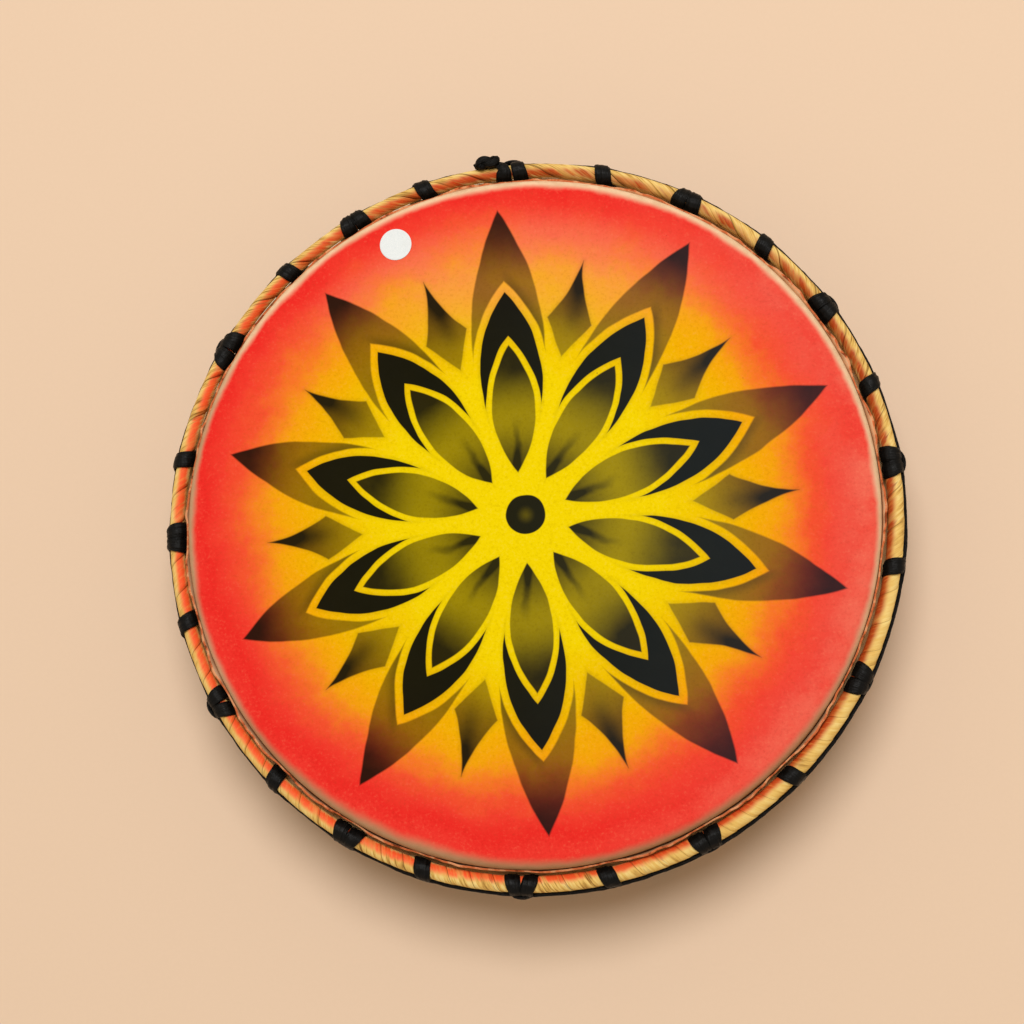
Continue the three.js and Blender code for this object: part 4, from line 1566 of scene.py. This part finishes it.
@dataclass
class RopeSweep:
    """Sweeps flattened ropes, each along its own row of stations."""

    step: float = 1.9 * MM
    sides: int = 28
    ridges: int = 7
    ridge: float = 0.14 * MM
    fold: float = 1.5 * MM
    squareness: float = 0.78
    lay: float = 70 * MM
    fold_shift: float = 0.37
    fewest: int = 8
    smoothings: int = 2

    def spaced(self, stations: list[Station]) -> tuple[np.ndarray, np.ndarray, np.ndarray, np.ndarray]:
        """Space a rope's stations evenly.

        Args:
            stations: The rope's stations in order.

        Returns:
            For each even step: its centre, half its width and thickness as vectors, and its distance.
        """
        rows = np.array([[*s.centre, *s.normal, s.width, s.thick] for s in stations])
        gaps = np.linalg.norm(np.diff(rows[:, :3], axis=0), axis=1)
        run = np.concatenate([[0], np.cumsum(gaps)])
        count = max(int(run[-1] / self.step), self.fewest)
        even = np.linspace(0, run[-1], count + 1)
        rows = np.stack([np.interp(even, run, column) for column in rows.T], axis=1)
        for _ in range(self.smoothings):
            rows[1:-1] = (rows[:-2] + 2 * rows[1:-1] + rows[2:]) / 4
        centre = rows[:, :3]
        way = np.gradient(centre, axis=0)
        way /= np.linalg.norm(way, axis=1, keepdims=True)
        across = np.cross(rows[:, 3:6], way)
        across /= np.linalg.norm(across, axis=1, keepdims=True)
        for i in range(1, len(across)):
            if across[i] @ across[i - 1] < 0:
                across[i] *= -1
        out = np.cross(way, across)
        return centre, across * rows[:, 6:7] / 2, out * rows[:, 7:8] / 2, even

    def rail(self, name: str, ropes: list[list[Station]]) -> tuple[bpy.types.Mesh, float]:
        """Keep the sections of some ropes on a polyline for each.

        Args:
            name: The polylines' name.
            ropes: The stations of each rope in order.

        Returns:
            The polylines' mesh and the ropes' length together.
        """
        laid = [self.spaced(stations) for stations in ropes]
        centre, across, thickness = (np.concatenate([rope[i] for rope in laid]) for i in range(3))
        run = np.concatenate([rope[3] + number * self.fold_shift for number, rope in enumerate(laid)])
        edges = []
        first = 0
        for rope in laid:
            edges += [(i, i + 1) for i in range(first, first + len(rope[0]) - 1)]
            first += len(rope[0])
        mesh = bpy.data.meshes.new(f"{name}_rail")
        mesh.from_pydata(centre.tolist(), edges, [])
        for mark, values in (("across", across), ("thickness", thickness)):
            layer = mesh.attributes.new(mark, "FLOAT_VECTOR", "POINT")
            layer.data.foreach_set("vector", values.astype(np.float32).ravel())
        layer = mesh.attributes.new("run", "FLOAT", "POINT")
        layer.data.foreach_set("value", run.astype(np.float32))
        return mesh, float(sum(rope[3][-1] for rope in laid))

    def recipe(self, name: str, finish: bpy.types.Material) -> Recipe:
        """Write the recipe that sweeps the rope's section along its rail.

        Args:
            name: The recipe's name.
            finish: The rope's material.

        Returns:
            The recipe.
        """
        recipe = Recipe(name)
        sides = recipe.asks("Sides", InputKind.COUNT, self.sides)
        ridges = recipe.asks("Ridges", InputKind.COUNT, self.ridges)
        ridge = recipe.asks("Ridge Height", InputKind.NUMBER, self.ridge)
        fold = recipe.asks("Fold Height", InputKind.NUMBER, self.fold)
        lay = recipe.asks("Lay", InputKind.NUMBER, self.lay)
        square = recipe.asks("Squareness", InputKind.NUMBER, self.squareness)
        dressed = recipe.asks("Finish", InputKind.FINISH, finish)

        position = recipe.out("GeometryNodeInputPosition", {})
        line = recipe.marked(recipe.base(), "centre", position, vector=True)
        rail = recipe.out("GeometryNodeMeshToCurve", {0: line})
        rope = recipe.tube(rail, sides)
        turn = recipe.mark("side") * FULL_TURN / sides
        run = recipe.mark("run")

        def squared(part: Signal) -> Signal:
            """A circle's part pushed out towards a square's."""
            sign = recipe.reckon("SIGN", part)
            return sign * recipe.reckon("POWER", abs(part), square)

        wander = recipe.noise(recipe.joined(run * 40, turn.cosine(), turn.sine()), 1.0, 2.0) - 0.5
        folded = recipe.joined(turn.cosine() * FOLDS_ROUND, turn.sine() * FOLDS_ROUND, run * FOLDS_ALONG)
        folds = recipe.noise(folded, 1.0, 2.0) - 0.5
        ridged = (turn * ridges + run * FULL_TURN / lay).cosine() * ridge
        strands = ridged + wander * ridge * 3 + folds * fold
        across = recipe.mark("across", vector=True)
        thickness = recipe.mark("thickness", vector=True)
        sideways = recipe.scaled(recipe.vectors("NORMALIZE", across), strands * turn.cosine())
        outwards = recipe.scaled(recipe.vectors("NORMALIZE", thickness), strands * turn.sine())
        place = recipe.mark("centre", vector=True)
        for offset in (
            recipe.scaled(across, squared(turn.cosine())),
            recipe.scaled(thickness, squared(turn.sine())),
            sideways,
            outwards,
        ):
            place = recipe.vectors("ADD", place, offset)
        rope = recipe.moved(rope, place)
        rope = recipe.marked(rope, "rope_place", recipe.joined(turn.cosine(), turn.sine(), run), vector=True)
        recipe.serve(rope, dressed)
        return recipe

    def sweep(self, name: str, ropes: list[list[Station]], finish: bpy.types.Material) -> bpy.types.Mesh:
        """Make the mesh of one or more ropes.

        Args:
            name: The mesh's name.
            ropes: The stations of each rope in order.
            finish: The rope's material.

        Returns:
            The mesh.
        """
        rail, length = self.rail(name, ropes)
        LOG.info("%s: %.2f m of rope", name, length)
        return self.recipe(name, finish).made(name, rail)


@dataclass
class Lacing:
    """The rope, laced from the knot round the drum and back, and the strand along the crown ring."""

    crown: Ring
    lower: Ring
    flat_width: float = 9.4 * MM
    flat_thick: float = 2.2 * MM
    leg_width: float = 5 * MM
    leg_thick: float = 2.2 * MM
    leg_bow: float = 0.8 * MM
    turn_edge: float = 8.0 * MM
    hitch_width: float = 9.0 * MM
    pinch_width: float = 6.8 * MM
    lower_width: float = 4.8 * MM
    pinch_thick: float = 2.2 * MM
    bar_width: float = 4.6 * MM
    lead_thick: float = 3.2 * MM
    bar_half: float = 6.2 * MM
    bar_drop: float = 2.2 * MM
    bar_stand_off: float = 0.4 * MM
    exit_bend: float = 5.5 * MM
    exit_lean: float = 75.0
    flattens: float = 60.0
    hitch_flattens: float = 130.0
    hitch_close: float = 0.84
    parts_from: float = 80.0
    parts_over: float = 90.0
    turn_pitch: float = 8.4 * MM
    lower_pitch: float = 8 * MM
    lash_gap: float = 0.35 * MM
    way: float = -1.0
    three_quarters: float = 270.0
    lower_middle: float = 225.0
    turn_steps: int = 28
    lower_steps: int = 25
    leg_steps: int = 8
    strand_steps: int = 16
    strand_width: float = 3.4 * MM
    strand_thick: float = 2.3 * MM
    strand_low: float = 35.0
    strand_high: float = 20.0
    strand_high_at: float = math.radians(-56)
    strand_sag: float = 10.0
    strand_overlap: float = 1.0 * MM
    strand_rises: tuple[float, float] = (0.3, 0.85)
    knot_lead: Pairs = ((8.4 * MM, 46.0), (6.6 * MM, 54.0), (5.2 * MM, 64.0))
    knot_skips: int = 8
    sweep: RopeSweep = field(default_factory=RopeSweep)
    finish: BlackRope = BlackRope()

    def further(self, ring: Ring, azimuth: float, along: float) -> float:
        """The azimuth at a distance along a ring from another, in the lacing's way."""
        return azimuth + self.way * along / ring.radius

    def turn_along(self, around: float) -> float:
        """How far along the crown ring a turn has come, from its top."""
        return (around - ON_TOP) / FULL_DEGREES * self.turn_pitch

    def under_crown(self) -> float:
        """The height of the rope's middle where it goes out under the crown ring."""
        return self.crown.height - self.crown.tube - self.lash_gap - self.flat_thick / 2

    def on_ring(
        self, ring: Ring, azimuth: float, along: float, around: float, width: float, thick: float
    ) -> Station:
        """A station on a ring.

        Args:
            ring: The ring.
            azimuth: The lashing's place.
            along: How far along the ring from it, in the lacing's way.
            around: Degrees round the rod: 0 outside, 90 on top, 180 inside and 270 underneath.
            width: The rope's width there.
            thick: The rope's thickness there.

        Returns:
            The station.
        """
        reach = ring.tube + self.lash_gap + thick / 2
        slope = math.radians(around)
        turn = self.further(ring, azimuth, along)
        radius = ring.radius + reach * math.cos(slope)
        return Station.leaning(turn, radius, ring.height + reach * math.sin(slope), around, width, thick)

    def flattened(self, around: float) -> float:
        """How far the rope has flattened on a ring, from 0 in the leg to 1."""
        return min(max(around / self.flattens, 0.0), 1.0)

    def single_turn(self, lashing: Lashing) -> list[Station]:
        """Up the outer side, over, down inside, out underneath and down in a short bend.

        Args:
            lashing: Where the turn is.

        Returns:
            The turn's stations.
        """
        stations = []
        for around in np.linspace(0, self.three_quarters, self.turn_steps):
            flat = self.flattened(around)
            width = mix(self.turn_edge, self.flat_width * lashing.fullness, flat)
            thick = mix(self.leg_thick, self.flat_thick, flat)
            along = self.turn_along(around)
            stations.append(self.on_ring(self.crown, lashing.azimuth, along, around, width, thick))
        leaves = self.further(self.crown, lashing.azimuth, self.turn_along(self.three_quarters))
        for lean in np.linspace(self.exit_lean, 0, 6):
            slope = math.radians(lean)
            radius = self.crown.radius + self.exit_bend * math.cos(slope)
            height = self.under_crown() - self.exit_bend + self.exit_bend * math.sin(slope)
            stations.append(Station.leaning(leaves, radius, height, lean, self.leg_width, self.leg_thick))
        return stations

    def hitch_half(self, lashing: Lashing, sign: int) -> list[Station]:
        """One half of a double hitch, from its leg round the ring to the middle of the bar.

        Args:
            lashing: Where the hitch is.
            sign: -1 for the half that comes first and +1 for the other.

        Returns:
            The half's stations.
        """
        crown = self.crown
        stations = []
        along = 0.0
        for around in np.linspace(0, self.three_quarters, self.turn_steps):
            share = min(around / self.hitch_flattens, 1.0)
            flat = share * share * (3 - 2 * share)
            width = mix(self.pinch_width, self.hitch_width * lashing.fullness, flat)
            thick = mix(self.pinch_thick, self.flat_thick, flat)
            parted = min(max((around - self.parts_from) / self.parts_over, 0.0), 1.0) * lashing.parting
            along = (width * mix(self.hitch_close, 1.0, flat) + parted) / 2
            stations.append(self.on_ring(crown, lashing.azimuth, sign * along, around, width, thick))
        edge = crown.radius + crown.tube + self.bar_stand_off
        under = self.under_crown()
        bar_height = crown.height - self.bar_drop
        for share in np.linspace(0.25, 1, 4):
            beside = sign * mix(along, self.bar_half, share)
            turn = self.further(crown, lashing.azimuth, beside)
            centre = upright(turn, mix(crown.radius, edge, share), mix(under, bar_height, share**2))
            normal = sideways(turn) * (self.way * sign * share) - np.array([0, 0, 1 - share])
            stations.append(Station(centre, normal, self.leg_width, self.pinch_thick))
        for bend in np.linspace(0, math.pi / 2, 8)[1:]:
            beside = sign * self.bar_half * math.cos(bend)
            turn = self.further(crown, lashing.azimuth, beside)
            centre = upright(turn, edge + lashing.bulge * math.sin(bend), bar_height)
            normal = sideways(turn) * (self.way * sign * math.cos(bend)) + upright(turn, math.sin(bend), 0)
            stations.append(Station(centre, normal, self.bar_width, self.pinch_thick))
        return stations

    def double_hitch(self, lashing: Lashing, from_knot: bool) -> list[Station]:
        """Two turns that mirror each other, joined by a bar across their legs.

        Args:
            lashing: Where the hitch is.
            from_knot: Whether the rope starts at the knot here, in place of a leg from below.

        Returns:
            The hitch's stations.
        """
        first = self.hitch_half(lashing, -1)
        if from_knot:
            lead = [
                self.on_ring(self.crown, lashing.azimuth, -beside, around, self.bar_width, self.lead_thick)
                for beside, around in self.knot_lead
            ]
            first = [self.in_knot(), *lead, *first[self.knot_skips:]]
        return [*first, *reversed(self.hitch_half(lashing, 1)[:-1])]

    def in_knot(self) -> Station:
        """The rope in the middle of the knot."""
        low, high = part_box("rope_end_knot")
        middle = np.array((low + high) / 2)
        return Station(middle, outward_at(middle), self.bar_width, self.lead_thick)

    def lower_turn(self, azimuth: float) -> list[Station]:
        """In under the foot hoop, over the lower ring, down inside, out underneath and up outside.

        Args:
            azimuth: Where the turn is.

        Returns:
            The turn's stations.
        """
        low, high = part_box("foot_hoop")
        stations = []

        def along(around: float) -> float:
            """How far along the ring the turn has come."""
            return (around - self.lower_middle) / self.three_quarters * self.lower_pitch

        enters = self.further(self.lower, azimuth, along(ON_TOP))
        reach = self.lash_gap + self.flat_thick / 2
        for lean in np.linspace(0, -45, 4):
            slope = math.radians(lean)
            width = mix(self.leg_width, self.lower_width, -lean / 90)
            radius = high.x + reach * math.cos(slope)
            height = low.z + reach * math.sin(slope)
            stations.append(Station.leaning(enters, radius, height, lean, width, self.flat_thick))
        for around in np.linspace(ON_TOP, FULL_DEGREES, self.lower_steps):
            flat = self.flattened(FULL_DEGREES - around)
            width = mix(self.leg_width, self.lower_width, flat)
            thick = mix(self.leg_thick, self.flat_thick, flat)
            stations.append(self.on_ring(self.lower, azimuth, along(around), around, width, thick))
        return stations

    def leg(self, first: Station, last: Station) -> list[Station]:
        """The rope's way between the rings, bowed a little outwards.

        Args:
            first: Where the leg starts.
            last: Where it ends.

        Returns:
            The stations between them.
        """
        stations = []
        for share in np.linspace(0, 1, self.leg_steps)[1:-1]:
            centre = mix(first.centre, last.centre, share)
            centre = centre + outward_at(centre) * (4 * self.leg_bow * share * (1 - share))
            width = mix(first.width, last.width, share)
            stations.append(Station(centre, mix(first.normal, last.normal, share), width, self.leg_thick))
        return stations

    def stations(self) -> list[Station]:
        """The whole lacing from the knot round to the knot.

        Returns:
            The stations in order.
        """
        places = lashings()
        route = []
        for i, lashing in enumerate(places):
            after = places[i + 1].azimuth if i + 1 < len(places) else places[0].azimuth - FULL_TURN
            if lashing.kind is Lash.HITCH:
                upper = self.double_hitch(lashing, i == 0)
            else:
                upper = self.single_turn(lashing)
            below = self.lower_turn((lashing.azimuth + after) / 2)
            if route:
                route += self.leg(route[-1], upper[0])
            route += [*upper, *self.leg(upper[-1], below[0]), *below]
        return [*route, self.in_knot()]

    def strands(self) -> list[list[Station]]:
        """The strand along the crown ring's outer side, in its stretches from one lashing to the next.

        Returns:
            The stations of each stretch.
        """
        places = [lashing.azimuth for lashing in lashings()]
        stretches = []
        for first, last in zip(places, [*places[1:], places[0] - FULL_TURN]):
            start = self.further(self.crown, first, -self.strand_overlap)
            end = self.further(self.crown, last, self.strand_overlap)
            stretch = []
            for share in np.linspace(0, 1, self.strand_steps):
                azimuth = mix(start, end, share)
                raised = np.interp(math.cos(azimuth - self.strand_high_at), self.strand_rises, (0.0, 1.0))
                sag = self.strand_sag * 4 * share * (1 - share)
                around = -mix(self.strand_low, self.strand_high, raised) - sag
                section = (self.strand_width, self.strand_thick)
                stretch.append(self.on_ring(self.crown, azimuth, 0.0, around, *section))
            stretches.append(stretch)
        return stretches

    def build(self) -> None:
        """Lace the rope and dress it."""
        finish = self.finish.material()
        mesh = self.sweep.sweep("lacing", [self.stations(), *self.strands()], finish)
        show("lacing", mesh, finish, self.finish.name, "lacing_rope")
        EndKnot().build(finish)


@dataclass
class EndKnot:
    """The overhand knot that joins the rope's two ends, within its solid's box."""

    rope: float = 5.0 * MM
    flatness: float = 0.86
    loops: int = 160
    loop_reach: tuple[float, float] = (2.7, 2.8)
    spread: tuple[float, float, float] = (1.5, 1.0, 2.6)
    tail: float = 2.5 * MM
    tail_in: float = 0.5 * MM
    tail_drop: float = 4 * MM
    knee_out: float = 1.2 * MM
    nudge: tuple[float, float] = (-0.4 * MM, -0.4 * MM)
    sweep: RopeSweep = field(default_factory=lambda: RopeSweep(step=0.7 * MM, sides=20, ridges=5))

    def build(self, finish: bpy.types.Material) -> None:
        """Tie the knot and dress it.

        Args:
            finish: The rope's material.
        """
        low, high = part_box("rope_end_knot")
        middle = np.array((low + high) / 2)
        azimuth = math.atan2(middle[1], middle[0])
        outward = upright(azimuth, 1.0, 0.0)
        beside = sideways(azimuth)
        middle = middle + beside * self.nudge[0] + outward * self.nudge[1]
        room = np.array([high.x - low.x, high.z - low.z, high.y - low.y]) / 2 - self.rope / 2
        turn = np.linspace(0, FULL_TURN, self.loops)
        room *= np.array(self.spread)
        wide = (np.sin(turn) + 2 * np.sin(2 * turn)) / self.loop_reach[0] * room[0]
        tall = (np.cos(turn) - 2 * np.cos(2 * turn)) / self.loop_reach[1] * room[1]
        deep = -np.sin(3 * turn) * room[2]
        centres = middle + np.outer(wide, beside) + np.outer(deep, outward) + np.outer(tall, (0, 0, 1))
        drop = np.array([0, 0, self.tail_drop])
        end = middle + beside * (room[0] + self.tail) - outward * self.tail_in - drop
        knee = mix(centres[-1], end, 0.5) + outward * self.knee_out
        thick = self.rope * self.flatness
        stations = [Station(centre, outward, self.rope, thick) for centre in (*centres, knee, end)]
        mesh = self.sweep.sweep("end_knot", [stations], finish)
        show("end_knot", mesh, finish, "black_rope", "rope_end_knot")


@dataclass
class PaperDot:
    """A small round of blank white paper, stuck on the head, its edge a little curled."""

    thick: float = 0.16 * MM
    lift: float = 0.05 * MM
    curl: float = 0.3 * MM
    curl_at: float = 0.6
    rings: int = 12
    sides: int = 96
    finish: BlankPaper = BlankPaper()

    def build(self) -> None:
        """Cut the dot and dress it."""
        low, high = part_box("paper_dot")
        middle = (low + high) / 2
        radius = (high.x - low.x) / 2
        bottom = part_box("drum_head")[1].z + self.lift
        edge = radius - self.thick / 2
        top = np.linspace(0, edge, self.rings)
        underside = np.linspace(edge, 0, self.rings)
        across = np.concatenate([top, [radius], underside])
        height = np.concatenate([np.full(self.rings, self.thick), [self.thick / 2], np.zeros(self.rings)])
        angle = azimuths(self.sides)
        raised = self.curl * (across / radius) ** 4 * (0.5 + 0.5 * np.cos(angle - self.curl_at))[:, None]
        points = turned(angle, across, bottom + height + raised)
        points[..., 0] += middle.x
        points[..., 1] += middle.y
        mesh = round_mesh("blank_paper_dot", points, False, {})
        show("blank_paper_dot", mesh, self.finish.material(), self.finish.name, "paper_dot")


@dataclass
class Studio:
    """The floor, the light and the camera."""

    floor_radius: float = 40.0
    floor_drop: float = 0.2 * MM
    key_azimuth: float = 81.0
    key_height: float = 73.0
    key_distance: float = 3.5
    key_size: float = 1.9
    key_power: float = 80.0
    sky: float = 0.42
    sky_tone: Colour = (1.0, 0.815, 0.585)
    backdrop: Colour = screen(240, 226, 208)
    subject: tuple[float, float, float] = (0.0, 0.0, 0.075)
    camera_azimuth: float = -55.8
    camera_from_plumb: float = 11.35
    camera_distance: float = 1.2
    lens: float = 72.8
    shift: tuple[float, float] = (-0.0174, 0.0055)

    @staticmethod
    def direction(azimuth: float, elevation: float) -> Vector:
        """A direction from its azimuth and its angle above the floor, in degrees."""
        level = math.cos(math.radians(elevation))
        return Vector(upright(math.radians(azimuth), level, math.sin(math.radians(elevation))))

    def floor(self) -> None:
        """Lay the floor."""
        mesh = bpy.data.meshes.new("floor")
        reach = self.floor_radius
        corners = [(x * reach, y * reach, -self.floor_drop) for x, y in ((-1, -1), (1, -1), (1, 1), (-1, 1))]
        mesh.from_pydata(corners, [], [(0, 1, 2, 3)])
        mesh.materials.append(StudioFloor().material())
        floor = bpy.data.objects.new("floor", mesh)
        bpy.context.scene.collection.objects.link(floor)

    def light(self) -> None:
        """Hang one soft lamp and light the room evenly, with a pale backdrop for the camera and for gloss."""
        lamp = bpy.data.lights.new("soft_key", "AREA")
        lamp.shape = "DISK"
        lamp.size = self.key_size
        lamp.energy = self.key_power
        key = bpy.data.objects.new("soft_key", lamp)
        away = self.direction(self.key_azimuth, self.key_height)
        key.location = Vector(self.subject) + away * self.key_distance
        key.rotation_euler = away.to_track_quat("Z", "Y").to_euler()
        bpy.context.scene.collection.objects.link(key)
        world = bpy.data.worlds.new("studio")
        world.use_nodes = True
        room = Wiring(world.node_tree)
        path = room.node("ShaderNodeLightPath", {})
        seen = Signal(room, path.outputs["Is Camera Ray"])
        for ray in ("Is Glossy Ray", "Is Transmission Ray"):
            seen = seen.most(Signal(room, path.outputs[ray]))
        lighting = room.out("ShaderNodeBackground", {"Color": self.sky_tone, "Strength": self.sky})
        shown = room.out("ShaderNodeBackground", {"Color": self.backdrop, "Strength": 1.0})
        mixed = room.out("ShaderNodeMixShader", {0: seen, 1: lighting, 2: shown})
        room.node("ShaderNodeOutputWorld", {"Surface": mixed})
        bpy.context.scene.world = world

    def camera(self) -> None:
        """Set up the camera nearly plumb over the head, with +Y up the picture."""
        place = Vector(self.subject)
        place += self.direction(self.camera_azimuth, 90 - self.camera_from_plumb) * self.camera_distance
        forward = (Vector(self.subject) - place).normalized()
        right = forward.cross(Vector((0, 1, 0))).normalized()
        up = right.cross(forward)
        view = Matrix((right, up, -forward)).transposed().to_4x4()
        view.translation = place
        data = bpy.data.cameras.new("camera")
        data.lens = self.lens
        data.shift_x, data.shift_y = self.shift
        camera = bpy.data.objects.new("camera", data)
        camera.matrix_world = view
        bpy.context.scene.collection.objects.link(camera)
        bpy.context.scene.camera = camera

    def build(self) -> None:
        """Set up the floor, the light and the camera."""
        bpy.context.scene.view_settings.view_transform = "Standard"
        self.floor()
        self.light()
        self.camera()


def main() -> None:
    """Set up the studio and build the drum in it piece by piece."""
    logging.basicConfig(level=logging.INFO, format="%(name)s: %(message)s")
    crown = Ring.of("crown_ring_wrap")
    lower = Ring.of("lower_ring")
    Studio().build()
    WoodenFrame().build()
    Head(np.array([lashing.degrees for lashing in lashings()]), crown.height).build()
    dress("flesh_ring", BareSteel().material())
    CrownRing(crown).build()
    LowerRing(lower).build()
    Lacing(crown, lower).build()
    PaperDot().build()


if __name__ == "__main__":
    main()
